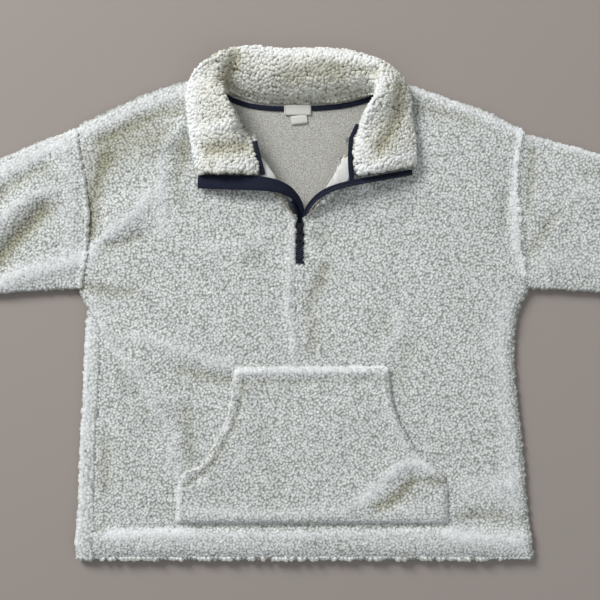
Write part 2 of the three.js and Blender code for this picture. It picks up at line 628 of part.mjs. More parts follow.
// How far the sewn edge sits on the front panel and on the back panel, from one collar row to another.
const COLLAR_SEAT = [
  { row: 1, onFront: 0, onBack: 0 },
  { row: 2, onFront: 1, onBack: 0 },
  { row: 3.55, onFront: 1, onBack: 0 },
  { row: 4, onFront: 0, onBack: 1 },
  { row: 9, onFront: 0, onBack: 1 },
  { row: 9.4, onFront: 1, onBack: 0 },
  { row: 11, onFront: 1, onBack: 0 },
  { row: 12, onFront: 0, onBack: 0 },
];
const COLLAR_SECTIONS = 28;
const COLLAR_LAYER_STEPS = [0, 0.2, 0.42, 0.7, 1];
const COLLAR_FOLD_ANGLES = [Math.PI / 3, (2 * Math.PI) / 3];
const ROLL_AT = 0.42;

function collarLines() {
  const lines = {};
  ['sewn', 'roll', 'top'].forEach((name) => {
    const points = COLLAR.map((row) => new THREE.Vector3(...row[name]));
    lines[name] = new THREE.CatmullRomCurve3(points, false, 'catmullrom', 0.5);
  });
  return lines;
}

const COLLAR_LINES = collarLines();
const onFrontAt = curveOf(COLLAR_SEAT, 'row', 'onFront');
const onBackAt = curveOf(COLLAR_SEAT, 'row', 'onBack');

// A point of the collar's middle, between its two layers, where around and out run from 0 to 1.
function collarMiddle(around, out) {
  const sewn = COLLAR_LINES.sewn.getPoint(around);
  const roll = COLLAR_LINES.roll.getPoint(around);
  const top = COLLAR_LINES.top.getPoint(around);
  const pull = 2 * ROLL_AT * (1 - ROLL_AT);
  const handle = roll.clone().addScaledVector(sewn, -((1 - ROLL_AT) ** 2)).addScaledVector(top, -(ROLL_AT ** 2));
  handle.divideScalar(pull);
  return new THREE.QuadraticBezierCurve3(sewn, handle, top).getPoint(out);
}

function collarSection(around) {
  const step = 0.004;
  const ahead = Math.min(around + step, 1);
  const behind = Math.max(around - step, 0);
  const frameAt = (out) => {
    const middle = collarMiddle(around, out);
    const round = collarMiddle(ahead, out).sub(collarMiddle(behind, out));
    const outward = collarMiddle(around, Math.min(out + step, 1)).sub(collarMiddle(around, Math.max(out - step, 0)));
    outward.normalize();
    const up = round.cross(outward).normalize();
    return { middle, outward, up };
  };
  const layer = (out, side) => {
    const { middle, up } = frameAt(out);
    const outer = middle.clone().addScaledVector(up, side * COLLAR_HALF_HEIGHT);
    const inner = middle.clone().addScaledVector(up, side * (COLLAR_HALF_HEIGHT - COLLAR_WALL));
    if (out === 0) {
      [outer, inner].forEach((point) => seatCollar(point, around));
    }
    return { outer, inner };
  };
  const { middle, outward, up } = frameAt(1);
  const turn = COLLAR_FOLD_ANGLES.map((angle) => {
    const way = up.clone().multiplyScalar(Math.cos(angle)).addScaledVector(outward, Math.sin(angle));
    return {
      outer: middle.clone().addScaledVector(way, COLLAR_HALF_HEIGHT),
      inner: middle.clone().addScaledVector(way, COLLAR_HALF_HEIGHT - COLLAR_WALL),
    };
  });
  const upper = COLLAR_LAYER_STEPS.map((out) => layer(out, 1));
  const lower = [...COLLAR_LAYER_STEPS].reverse().map((out) => layer(out, -1));
  return [...upper, ...turn, ...lower];
}

// Sets a point of the sewn edge down on the panel that it is sewn to.
function seatCollar(point, around) {
  const row = around * (COLLAR.length - 1);
  const onFront = onFrontAt(row);
  const onBack = onBackAt(row);
  const seat = onFront * (frontTop(point.x, point.y) + 2 * SEAM_GAP) + onBack * (PILE_WALL + SEAM_GAP);
  point.z = point.z * (1 - onFront - onBack) + seat;
}

function collar() {
  const rows = [];
  for (let i = 0; i <= COLLAR_SECTIONS; i += 1) {
    rows.push(collarSection(i / COLLAR_SECTIONS));
  }
  const sheet = new Sheet();
  sheet.grid(rows.map((row) => [...row].reverse()));
  return sheet.geometry();
}

// The kangaroo pocket, made from the front's points moved out, with a thicker turned edge.
const POCKET_OUTLINE = [
  { level: -281, left: -157, right: 186.5 },
  { level: -228, left: -153.5, right: 186.3 },
  { level: -221, left: -150, right: 180 },
  { level: -214, left: -131, right: 168.5 },
  { level: -197.7, left: -116.6, right: 153 },
  { level: -176, left: -101, right: 137.5 },
  { level: -147, left: -89, right: 121.6 },
  { level: -110, left: -83.4, right: 112.8 },
  { level: -86, left: -81, right: 111 },
];
const POCKET_LEVELS = [-281, -278, -270, -250, -230, -222, -214, -205, -190, -170, -147, -120, -97, -89, -86];
const POCKET_STEPS = [0, 0.012, 0.045, 0.12, 0.22, 0.35, 0.5, 0.65, 0.78, 0.88, 0.955, 0.988, 1];

function pocket() {
  const left = curveOf(POCKET_OUTLINE, 'level', 'left');
  const right = curveOf(POCKET_OUTLINE, 'level', 'right');
  const bottom = POCKET_LEVELS[0];
  const top = POCKET_LEVELS[POCKET_LEVELS.length - 1];
  const rows = POCKET_LEVELS.map((y) => POCKET_STEPS.map((step) => {
    const x = mix(left(y), right(y), step);
    const fromEdge = Math.min(x - left(y), right(y) - x, y - bottom, top - y);
    const binding = POCKET_BINDING * bell(fromEdge - BINDING_WIDTH / 2, BINDING_WIDTH / 2);
    const rounded = 1.2 * (1 - soften(clamp(fromEdge / 3, 0, 1)));
    const seat = frontTop(x, y) + SEAM_GAP;
    const raised = Math.max(foldHeight(POCKET_FOLDS, x, y), -1.4);
    const inner = new THREE.Vector3(x, y, seat + Math.max(raised, 0) * 0.8);
    return { outer: new THREE.Vector3(x, y, seat + POCKET_WALL + binding - rounded + raised), inner };
  }));
  const sheet = new Sheet();
  sheet.grid(rows);
  return sheet.geometry();
}

// A flat tape. Each row is a place on its centre line, its width, and how far it leans over
// towards the left of its way, in degrees.
function tape(rows, thickness) {
  const centres = rows.map(({ at }) => new THREE.Vector3(...at));
  const sections = rows.map(({ width, lean }, i) => {
    const from = centres[Math.max(i - 1, 0)];
    const to = centres[Math.min(i + 1, centres.length - 1)];
    const way = to.clone().sub(from).normalize();
    const left = new THREE.Vector3(-way.y, way.x, 0).normalize();
    const leftward = left.applyAxisAngle(way, -THREE.MathUtils.degToRad(lean));
    const up = way.clone().cross(leftward).normalize();
    return [0.5, -0.5].map((side) => {
      const edge = centres[i].clone().addScaledVector(leftward, side * width);
      return {
        outer: edge.clone().addScaledVector(up, thickness / 2),
        inner: edge.clone().addScaledVector(up, -thickness / 2),
      };
    });
  });
  const sheet = new Sheet();
  sheet.grid(sections);
  return sheet.geometry();
}

const ZIP_GUARD = [
  { at: [-128.5, 148.5, 17.5], width: 17, lean: 0 },
  { at: [-108, 147.8, 20], width: 17.5, lean: 0 },
  { at: [-88, 147, 23], width: 18, lean: 0 },
  { at: [-66, 146.3, 26], width: 18.5, lean: 0 },
  { at: [-46, 145, 28], width: 18, lean: 0 },
  { at: [-28, 142, 27.8], width: 16, lean: 0 },
  { at: [-14, 136.5, 24.5], width: 13, lean: 0 },
  { at: [-4, 128, 18.5], width: 9, lean: 0 },
  { at: [2, 118, 12.5], width: 6.5, lean: 0 },
  { at: [4, 109, 9], width: 4, lean: 0 },
];
const ZIP_TAPE_LEFT = [
  { at: [-3.1, 94.2, 8], width: 2.6, lean: 0 },
  { at: [-3.6, 100, 8.2], width: 4, lean: 0 },
  { at: [-4, 107, 10], width: 4.4, lean: 0 },
  { at: [-6.4, 115, 13.4], width: 5, lean: 0 },
  { at: [-10.5, 124, 17.6], width: 5, lean: 0 },
];
const ZIP_TAPE_RIGHT = [
  { at: [3.1, 94.2, 8], width: 2.6, lean: 0 },
  { at: [3.8, 100, 8.4], width: 4, lean: 0 },
  { at: [5.2, 107, 10.6], width: 5, lean: 0 },
  { at: [9.5, 116, 14.6], width: 6, lean: 0 },
  { at: [17, 125, 20], width: 7, lean: 0 },
  { at: [28, 134, 25.6], width: 7.5, lean: 0 },
  { at: [44, 140.5, 28.4], width: 7.5, lean: 0 },
  { at: [68, 146.5, 27.6], width: 7.5, lean: 0 },
  { at: [92, 151, 24.5], width: 7.5, lean: 0 },
  { at: [118, 156, 21.5], width: 7.5, lean: 0 },
  { at: [141, 160.5, 17.5], width: 7.5, lean: 0 },
];
const NECK_TAPE_LEFT = [
  { at: [-46, 156.5, 27.2], width: 5, lean: 0 },
  { at: [-49.5, 170, 28.5], width: 5, lean: 0 },
  { at: [-53, 184, 29], width: 5, lean: 0 },
];
const NECK_TAPE_RIGHT = [
  { at: [64.5, 150, 27.2], width: 5, lean: 0 },
  { at: [62.5, 168, 28.5], width: 5, lean: 0 },
  { at: [62.5, 184, 29], width: 5, lean: 0 },
];
const CHAIN_ROWS = [
  { at: [0, 50.6, CHAIN_LEVEL + 1.2], width: 10.8, lean: 0 },
  { at: [0, 72, CHAIN_LEVEL + 1.2], width: 10.8, lean: 0 },
  { at: [0, 93.5, CHAIN_LEVEL + 1.2], width: 10.8, lean: 0 },
];
const CHAIN_THICKNESS = 2.4;

// The tape over the back neck seam lies on the back panel, just inside the collar's sewn edge.
const BACK_TAPE_WIDTH = 5.4;
const BACK_TAPE_STEPS = 16;

function backNeckTape() {
  const rows = [];
  for (let i = 0; i <= BACK_TAPE_STEPS; i += 1) {
    const x = mix(-86, 82, i / BACK_TAPE_STEPS);
    const y = neckTop(x) - 3.6 - COLLAR_HALF_HEIGHT - BACK_TAPE_WIDTH / 2;
    rows.push({ at: [x, y, PILE_WALL + SEAM_GAP + TAPE_THICKNESS / 2], width: BACK_TAPE_WIDTH, lean: 0 });
  }
  return tape(rows, TAPE_THICKNESS);
}

// Hard pieces of the zip, cut and joined as solids.
const wasm = await Module();
wasm.setup();

function solidOf(geometry) {
  const source = geometry.index ? geometry.toNonIndexed() : geometry;
  const place = source.attributes.position;
  const known = new Map();
  const points = [];
  const triangles = [];
  for (let i = 0; i < place.count; i += 1) {
    const key = placeKey(place.getX(i), place.getY(i), place.getZ(i));
    if (!known.has(key)) {
      known.set(key, points.length / 3);
      points.push(place.getX(i), place.getY(i), place.getZ(i));
    }
    triangles.push(known.get(key));
  }
  const mesh = new wasm.Mesh({
    numProp: 3,
    vertProperties: new Float32Array(points),
    triVerts: new Uint32Array(triangles),
  });
  return new wasm.Manifold(mesh);
}

function geometryOf(solid) {
  const { vertProperties, triVerts } = solid.getMesh();
  const geometry = new THREE.BufferGeometry();
  geometry.setAttribute('position', new THREE.Float32BufferAttribute(vertProperties, 3));
  geometry.setIndex([...triVerts]);
  geometry.computeVertexNormals();
  return geometry;
}

function block(x, y, z) {
  const geometry = new THREE.BoxGeometry(x[1] - x[0], y[1] - y[0], z[1] - z[0]);
  return solidOf(geometry.translate((x[0] + x[1]) / 2, (y[0] + y[1]) / 2, (z[0] + z[1]) / 2));
}

function plate(outline, low, high) {
  const geometry = new THREE.ExtrudeGeometry(outline, { depth: high - low, bevelEnabled: false, curveSegments: 6 });
  return solidOf(geometry.translate(0, 0, low));
}

const SLIDER = { nose: 97.6, tail: 82.6, halfWidth: 4.7, shoulder: 3.1 };
const TOP_PLATE = { low: 9.6, high: 11.4 };
const UNDER_PLATE = { low: 5, high: 6.4 };
const BRIDGE = { halfWidth: 1.2, from: 84.8, to: 92.2, high: 14.6 };
const PULL_AXIS = { y: 88.5, z: 12.5 };
const PULL = { halfThickness: 0.8, window: 5.4, length: 20, halfWidth: 3.4, armGap: 1.6 };
const PULL_HOLE = { reach: 14.6, radius: 1.6 };

function sliderOutline() {
  const { nose, tail, halfWidth, shoulder } = SLIDER;
  const outline = new THREE.Shape();
  outline.moveTo(-shoulder, tail);
  outline.lineTo(shoulder, tail);
  outline.quadraticCurveTo(shoulder + 0.3, tail + 4, halfWidth, tail + 8);
  outline.lineTo(halfWidth, nose - 3);
  outline.quadraticCurveTo(halfWidth, nose, 0, nose);
  outline.quadraticCurveTo(-halfWidth, nose, -halfWidth, nose - 3);
  outline.lineTo(-halfWidth, tail + 8);
  outline.quadraticCurveTo(-shoulder - 0.3, tail + 4, -shoulder, tail);
  return outline;
}

function slider() {
  const { from, to, halfWidth, high } = BRIDGE;
  const top = plate(sliderOutline(), TOP_PLATE.low, TOP_PLATE.high);
  const under = plate(sliderOutline(), UNDER_PLATE.low, UNDER_PLATE.high);
  const post = block([-1.3, 1.3], [94.4, 96.8], [UNDER_PLATE.low + 0.4, TOP_PLATE.low + 0.4]);
  const bridge = block([-halfWidth, halfWidth], [from, to], [TOP_PLATE.high - 0.4, high]);
  const room = PULL.halfThickness + 0.3;
  const tunnelFrom = PULL_AXIS.y - room - 0.5;
  const tunnelTo = PULL_AXIS.y + room + 0.5;
  const tunnel = block([-3, 3], [tunnelFrom, tunnelTo], [TOP_PLATE.high, PULL_AXIS.z + room]);
  return geometryOf(top.add(under).add(post).add(bridge.subtract(tunnel)));
}

// The pull tab lies down on the closed chain, hung by its crossbar under the slider's bridge.
function pullTab() {
  const { halfThickness, window: start, length, halfWidth, armGap } = PULL;
  const low = PULL_AXIS.z - halfThickness;
  const high = PULL_AXIS.z + halfThickness;
  const bar = new THREE.CylinderGeometry(halfThickness, halfThickness, 2 * halfWidth, 12);
  bar.rotateZ(Math.PI / 2).translate(0, PULL_AXIS.y, PULL_AXIS.z);
  const end = PULL_AXIS.y - length;
  const outline = new THREE.Shape();
  outline.moveTo(-halfWidth, PULL_AXIS.y);
  outline.lineTo(-halfWidth, end + 2.4);
  outline.quadraticCurveTo(-halfWidth, end, -halfWidth + 2.4, end);
  outline.lineTo(halfWidth - 2.4, end);
  outline.quadraticCurveTo(halfWidth, end, halfWidth, end + 2.4);
  outline.lineTo(halfWidth, PULL_AXIS.y);
  const gap = block([-armGap, armGap], [PULL_AXIS.y - start, PULL_AXIS.y + 1], [low - 1, high + 1]);
  const hole = new THREE.CylinderGeometry(PULL_HOLE.radius, PULL_HOLE.radius, 4, 20);
  hole.rotateX(Math.PI / 2).translate(0, PULL_AXIS.y - PULL_HOLE.reach, PULL_AXIS.z);
  const tab = plate(outline, low, high).subtract(gap).subtract(solidOf(hole));
  return geometryOf(tab.add(solidOf(bar)));
}

// The neck label lies over the tape, and the folded size tag hangs from under it.
const LABEL = { from: [-20, 234.8], to: [14, 247.6], low: 6.1, high: 6.8 };
const SIZE_TAG = { from: [-11.4, 223.5], to: [8.9, 234.4], low: 4.8, high: 6.4 };

function clothTag({ from, to, low, high }) {
  const rows = [];
  const steps = 6;
  for (let i = 0; i <= steps; i += 1) {
    const x = mix(from[0], to[0], i / steps);
    const sag = 0.4 * bell(i - steps / 2, steps / 3);
    const at = (y, z) => new THREE.Vector3(x, y, z + sag);
    rows.push([
      { outer: at(from[1], high), inner: at(from[1], low) },
      { outer: at(to[1], high), inner: at(to[1], low) },
    ]);
  }
  const sheet = new Sheet();
  sheet.grid(rows.map((row) => [...row].reverse()));
  return sheet.geometry();
}

// The pullover, put together
const garment = new THREE.Group();

function addPiece(name, geometry, look) {
  const mesh = new THREE.Mesh(geometry, new THREE.MeshStandardMaterial(look));
  mesh.name = name;
  garment.add(mesh);
}

addPiece('back', backPanel(), FLEECE);
addPiece('front', frontPanel(), FLEECE);
addPiece('sleeve_left', sleeve(LEFT, LEFT_SLEEVE, LEFT_SLEEVE_FOLDS), FLEECE);
addPiece('sleeve_right', sleeve(RIGHT, RIGHT_SLEEVE, RIGHT_SLEEVE_FOLDS), FLEECE);
addPiece('collar', collar(), FLEECE);
addPiece('pocket', pocket(), FLEECE);
addPiece('neck_tape', backNeckTape(), NAVY_TAPE);
addPiece('neck_tape_left', tape(NECK_TAPE_LEFT, TAPE_THICKNESS), NAVY_TAPE);
addPiece('neck_tape_right', tape(NECK_TAPE_RIGHT, TAPE_THICKNESS), NAVY_TAPE);
addPiece('zip_guard', tape(ZIP_GUARD, TAPE_THICKNESS), NAVY_TAPE);
addPiece('zip_tape_left', tape(ZIP_TAPE_LEFT, TAPE_THICKNESS), NAVY_TAPE);
addPiece('zip_tape_right', tape(ZIP_TAPE_RIGHT, TAPE_THICKNESS), NAVY_TAPE);
addPiece('zip_chain', tape(CHAIN_ROWS, CHAIN_THICKNESS), NAVY_TAPE);
addPiece('zip_slider', slider(), NAVY_METAL);
addPiece('zip_pull', pullTab(), NAVY_METAL);
addPiece('neck_label', clothTag(LABEL), LABEL_CLOTH);
addPiece('size_tag', clothTag(SIZE_TAG), LABEL_CLOTH);

export default garment;
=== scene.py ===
import math

import bmesh
import bpy
import numpy as np
from mathutils import Matrix, Vector
from mathutils.bvhtree import BVHTree


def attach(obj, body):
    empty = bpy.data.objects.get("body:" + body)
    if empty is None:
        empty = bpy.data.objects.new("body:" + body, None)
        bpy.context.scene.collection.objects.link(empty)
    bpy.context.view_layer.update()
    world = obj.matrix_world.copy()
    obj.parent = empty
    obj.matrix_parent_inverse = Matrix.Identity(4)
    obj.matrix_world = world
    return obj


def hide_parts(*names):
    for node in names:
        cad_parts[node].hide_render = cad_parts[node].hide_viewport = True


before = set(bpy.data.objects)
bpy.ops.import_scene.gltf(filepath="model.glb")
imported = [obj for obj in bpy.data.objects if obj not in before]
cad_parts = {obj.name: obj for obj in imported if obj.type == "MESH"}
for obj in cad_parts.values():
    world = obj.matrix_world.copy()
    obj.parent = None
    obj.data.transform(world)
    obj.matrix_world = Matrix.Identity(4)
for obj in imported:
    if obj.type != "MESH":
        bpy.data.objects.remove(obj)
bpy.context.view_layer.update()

# ---- Back panel ------------------------------------------------------------------------------------------------
# The back of the body, one panel of knit with sherpa pile on its outer face and a smooth brushed inner face, which
# shows in the open neck. It lies on its pile, with its hem turned up and its left side rolled onto the front.

PILE_GROUND = 0.0016  # how far below the cloth's full height the curls are rooted
CURL_PITCH = 0.0030  # least distance between two curls on the body
CURL_HEIGHT = 0.0021
TUFT_PITCH = 0.0016  # least distance between two of the fine tufts along an edge
SHARP_TURN = math.radians(62)  # faces of one skin turn less than this from one to the next


def feed(tree, socket, value):
    """Gives a node's socket a plain value, or links it to another node's result."""
    if isinstance(value, bpy.types.NodeSocket):
        tree.links.new(value, socket)
    else:
        socket.default_value = value


def shader_node(tree, kind, **sockets):
    """A new node with its sockets fed by name, an underscore for each space."""
    node = tree.nodes.new(kind)
    for name, value in sockets.items():
        feed(tree, node.inputs[name.replace("_", " ")], value)
    return node


def maths(tree, operation, *values):
    """The result of one operation on plain values or other nodes' results."""
    node = tree.nodes.new("ShaderNodeMath")
    node.operation = operation
    for socket, value in zip(node.inputs, values):
        feed(tree, socket, value)
    return node.outputs[0]


def spread(tree, value, low, high, least=0.0, most=1.0, curve="LINEAR"):
    """A number between low and high, brought to between least and most."""
    node = shader_node(tree, "ShaderNodeMapRange", Value=value, From_Min=low, From_Max=high, To_Min=least, To_Max=most)
    node.interpolation_type = curve
    return node.outputs["Result"]


def blend(tree, share, first, second, how="MIX"):
    """The first colour with a share of the second."""
    node = tree.nodes.new("ShaderNodeMix")
    node.data_type = "RGBA"
    node.blend_type = how
    for socket, value in ((0, share), (6, first), (7, second)):
        feed(tree, node.inputs[socket], value)
    return node.outputs[2]


def noted(tree, name):
    """A number that the mesh itself carries at each point."""
    node = tree.nodes.new("ShaderNodeAttribute")
    node.attribute_name = name
    return node.outputs["Fac"]


def speckle(tree, place, scale, detail, rough):
    """Uneven light and dark spots over the piece, finer as scale grows."""
    node = shader_node(tree, "ShaderNodeTexNoise", Vector=place, Scale=scale, Detail=detail, Roughness=rough)
    return node.outputs["Fac"]


def raised(tree, look, height, strength, depth):
    """Lets the light see height as a fine relief on the surface."""
    bump = shader_node(tree, "ShaderNodeBump", Strength=strength, Distance=depth, Height=height)
    tree.links.new(bump.outputs[0], look.inputs["Normal"])


def new_finish(name, **numbers):
    """A material, its nodes, its shader with the numbers given, and the place on the piece."""
    material = bpy.data.materials.new(name)
    material.use_nodes = True
    tree = material.node_tree
    look = tree.nodes["Principled BSDF"]
    for socket, number in numbers.items():
        look.inputs[socket.replace("_", " ")].default_value = number
    return material, tree, look, tree.nodes.new("ShaderNodeTexCoord").outputs["Object"]


def sherpa_curls(name, tops, hollow_shade):
    """The pile's look: pale woolly tops, and painted shade, warmer and darker, down into the roots between the curls.
    """
    material, tree, look, place = new_finish(
        name, Roughness=0.92, Specular_IOR_Level=0.15, Sheen_Weight=0.25, Sheen_Roughness=0.6
    )
    wool = speckle(tree, place, 900.0, 3.0, 0.6)
    drift = speckle(tree, place, 22.0, 3.0, 0.5)
    # painted shade: each curl darkens from its tip down to its root, where the curls shade each other
    shade = blend(tree, spread(tree, noted(tree, "tip"), 0.40, 0.77, curve="SMOOTHSTEP"), hollow_shade, tops)
    vary = spread(tree, noted(tree, "tint"), 0.0, 1.0, 0.84, 1.04)
    cloud = spread(tree, drift, 0.3, 0.7, 0.95, 1.03)
    tinted = tree.nodes.new("ShaderNodeVectorMath")
    tinted.operation = "SCALE"
    feed(tree, tinted.inputs[0], shade)
    feed(tree, tinted.inputs["Scale"], maths(tree, "MULTIPLY", vary, cloud))
    lie = noted(tree, "lie")
    # painted highlight: the pile turns nearly white where it carries painted light
    painted_light = blend(tree, spread(tree, lie, 0.0, 1.0, 0.0, 0.8), tinted.outputs[0], (0.95, 0.97, 0.97, 1))
    # painted shade: the pile turns darker and warmer where it carries painted shade
    painted_shade = blend(tree, spread(tree, lie, 0.0, -1.0), painted_light, (0.53, 0.50, 0.38, 1), "MULTIPLY")
    tree.links.new(painted_shade, look.inputs["Base Color"])
    raised(tree, look, wool, 0.7, 0.0006)
    return material


def brushed_knit(name, light, dark):
    """The smooth inner face: a fine heathered knit, its wales along the panel, with painted light that makes it paler
    where it lies high and is turned out.
    """
    material, tree, look, place = new_finish(name, Roughness=0.95, Specular_IOR_Level=0.12, Sheen_Weight=0.15)
    wales = shader_node(tree, "ShaderNodeMapping", Vector=place, Scale=(1.0, 0.45, 1.0))
    fleck = speckle(tree, wales.outputs[0], 1500.0, 4.0, 0.65)
    cloud = speckle(tree, place, 620.0, 3.0, 0.6)
    heather = blend(tree, spread(tree, maths(tree, "MULTIPLY_ADD", fleck, 0.75, cloud), 0.74, 1.00), dark, light)
    height = shader_node(tree, "ShaderNodeSeparateXYZ", Vector=place).outputs["Z"]
    # painted light: the knit turns paler the higher it lies
    painted_light_up_high = blend(tree, spread(tree, height, 0.010, 0.020, 0.0, 0.6), heather, (0.90, 0.91, 0.90, 1))
    tree.links.new(painted_light_up_high, look.inputs["Base Color"])
    raised(tree, look, fleck, 0.5, 0.0004)
    return material


# the second colour of each pile is the painted shade of its hollows
CREAM_CURLS = sherpa_curls("cream_sherpa_curls", (0.87, 0.91, 0.895, 1), (0.40, 0.41, 0.365, 1))
# the cloth under the curls and its cut edges: a darker tan, painted shade where it shows between the curls
SHADED_PILE_GROUND = sherpa_curls("cream_pile_roots", (0.50, 0.47, 0.39, 1), (0.42, 0.39, 0.31, 1))
INNER_KNIT = brushed_knit("brushed_inner_knit", (0.66, 0.66, 0.62, 1), (0.36, 0.34, 0.30, 1))

PILE_SKIN, SMOOTH_SKIN, CUT_EDGE = 0, 1, 2


def skin_from(mesh, seed):
    """The faces of one skin of a cloth wall: all that are reached from seed without a sharp turn."""
    found = {seed}
    edge = [seed]
    while edge:
        face = edge.pop()
        for side in face.edges:
            for other in side.link_faces:
                if other not in found and face.normal.angle(other.normal) < SHARP_TURN:
                    found.add(other)
                    edge.append(other)
    return found


def made_piece(name, mesh, *finishes):
    """Ends the modelling of a mesh: it becomes the piece of that name, in its finishes."""
    data = bpy.data.meshes.new(name)
    mesh.to_mesh(data)
    mesh.free()
    for finish in finishes:
        data.materials.append(finish)
    piece = bpy.data.objects.new(name, data)
    bpy.context.collection.objects.link(piece)
    return piece


def cloth_shell(node, smooth_at=None, faces_up=False, hollow=0.0, square=0.75):
    """The CAD wall's shape as soft cloth. smooth_at is a point beside the smooth skin, which faces up or down there.

    Where the wall is two layers, its smooth skins are those that face each other over less than hollow.
    """
    mesh = bmesh.new()
    mesh.from_mesh(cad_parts[node].data)
    bmesh.ops.remove_doubles(mesh, verts=mesh.verts, dist=0.00002)
    mesh.normal_update()
    smooth = set()
    if smooth_at:
        turned = [f for f in mesh.faces if (f.normal.z > 0.8 if faces_up else f.normal.z < -0.8)]
        steep = Vector((1, 1, 25))  # the two skins are much nearer in height than two faces of one skin are apart
        seed = min(turned, key=lambda f: ((f.calc_center_median() - Vector(smooth_at)) * steep).length)
        smooth = skin_from(mesh, seed)
    if hollow:
        walls = BVHTree.FromBMesh(mesh)
        smooth = {
            f for f in mesh.faces if walls.ray_cast(f.calc_center_median() + f.normal * 0.0001, f.normal, hollow)[0]
        }
    crown = max(mesh.faces, key=lambda f: f.calc_area() * (f not in smooth) * abs(f.normal.z))
    furry = set(mesh.faces) - smooth if hollow else skin_from(mesh, crown)
    for face in mesh.faces:
        face.material_index = PILE_SKIN if face in furry else SMOOTH_SKIN if face in smooth else CUT_EDGE
        face.smooth = True
    bmesh.ops.join_triangles(
        mesh, faces=mesh.faces, angle_face_threshold=0.6, angle_shape_threshold=1.2, cmp_materials=True
    )
    firmness = mesh.edges.layers.float.new("crease_edge")
    for edge in mesh.edges:
        if edge.calc_face_angle(0) > SHARP_TURN:
            edge[firmness] = square
    # the pile side and cut edges take the painted shade of the pile's ground
    piece = made_piece(node + "_cloth", mesh, SHADED_PILE_GROUND, INNER_KNIT, SHADED_PILE_GROUND)
    soft = piece.modifiers.new("soft", "SUBSURF")
    soft.levels = soft.render_levels = 2
    return settle(piece)


def settle(piece):
    """Applies what a piece still has of modifiers."""
    seen = piece.evaluated_get(bpy.context.evaluated_depsgraph_get())
    data = bpy.data.meshes.new_from_object(seen)
    data.name = piece.name
    piece.modifiers.clear()
    piece.data = data
    return piece


def sink_pile_side(piece):
    """Lowers the pile's side of a shell, so that the curls end where the cloth's full height is."""
    mesh = bmesh.new()
    mesh.from_mesh(piece.data)
    mesh.normal_update()
    inside = [v for v in mesh.verts if all(f.material_index == PILE_SKIN for f in v.link_faces)]
    moves = [(v, v.normal * PILE_GROUND) for v in inside]
    for vertex, move in moves:
        vertex.co -= move
        vertex.co.z = max(vertex.co.z, 0.0)
    mesh.to_mesh(piece.data)
    mesh.free()


EDGE_PAINTED_LIGHT = 0.15  # the least painted light on the pile along a cut or folded edge


def press_creases(piece, creases, floor=0.0):
    """Raises ridges and lowers hollows in what lies above floor, and notes painted light and shade there.

    A crease has a name, its width and height in mm, its painted light on the pile from -1 (painted shade) to 1
    (painted highlight), and its line in mm.
    """
    count = len(piece.data.vertices)
    place = np.empty(count * 3)
    piece.data.vertices.foreach_get("co", place)
    place = place.reshape(-1, 3)
    relief, lie = np.zeros(count), np.zeros(count)
    for _, width, height, painted_light, line in creases:
        line = np.array(line) / 1000
        near = np.full(count, np.inf)
        for start, end in zip(line[:-1], line[1:]):
            along = end - start
            part = np.clip(((place[:, :2] - start) @ along) / (along @ along), 0, 1)
            near = np.minimum(near, np.linalg.norm(place[:, :2] - start - part[:, None] * along, axis=1))
        bell = np.exp(-((near * 1000 / width) ** 2))
        relief += height / 1000 * bell
        # each crease's painted light on the pile, and painted shade where it is below 0
        lie += painted_light * bell
    # cut and folded edges carry at least a little painted light
    for face in piece.data.polygons:
        if face.material_index == CUT_EDGE:
            lie[list(face.vertices)] = np.maximum(lie[list(face.vertices)], EDGE_PAINTED_LIGHT)
    upper = place[:, 2] > floor
    place[upper, 2] += relief[upper]
    piece.data.vertices.foreach_set("co", place.ravel())
    painted_lighting_layer = piece.data.attributes.new("lie", "FLOAT", "POINT")
    painted_lighting_layer.data.foreach_set("value", (np.clip(lie, -1, 1) * upper).astype(np.float32))
    piece.data.update()


def curl_object(name, mesh, bend, root=0.0):
    """Bends a curl's top over and keeps, as tip, how far up the curl each point is, from root to 1."""
    bmesh.ops.translate(mesh, verts=[v for v in mesh.verts if v.co.z > 0.5], vec=(bend, 0, 0))
    for face in mesh.faces:
        face.smooth = True
    data = bpy.data.meshes.new(name)
    mesh.to_mesh(data)
    mesh.free()
    tip = data.attributes.new("tip", "FLOAT", "POINT")
    for vertex in data.vertices:
        tip.data[vertex.index].value = root + (1 - root) * vertex.co.z
    return bpy.data.objects.new(name, data)


def nub():
    """A small cone of wool, one unit high and on its root, to be bent over."""
    mesh = bmesh.new()
    bmesh.ops.create_cone(mesh, segments=6, radius1=1.0, radius2=0.0, depth=1.0, cap_ends=False)
    bmesh.ops.translate(mesh, verts=mesh.verts, vec=(0, 0, 0.5))
    return mesh


SMALL_CURL = curl_object("small_curl", nub(), 0.28)
EDGE_TUFT = curl_object("edge_tuft", nub(), 0.28, root=0.5)
CURL_SIZES = (1.15, 1.40, 0.85), (1.50, 2.00, 1.15)  # least and most, as shares of the pitch and height
TUFT_SIZES = (0.0012, 0.0012, 0.0012), (0.0019, 0.0019, 0.0027)
TUFT_LEAN = 0.35
CURL_TRIES, TUFT_TRIES = 14.0, 6.0  # places tried on each square of the pitch
CRIMP_SCALE = 380.0
CRIMP = 0.0040, 0.0040, 0.0022  # how far the wool's own crimp moves a curl


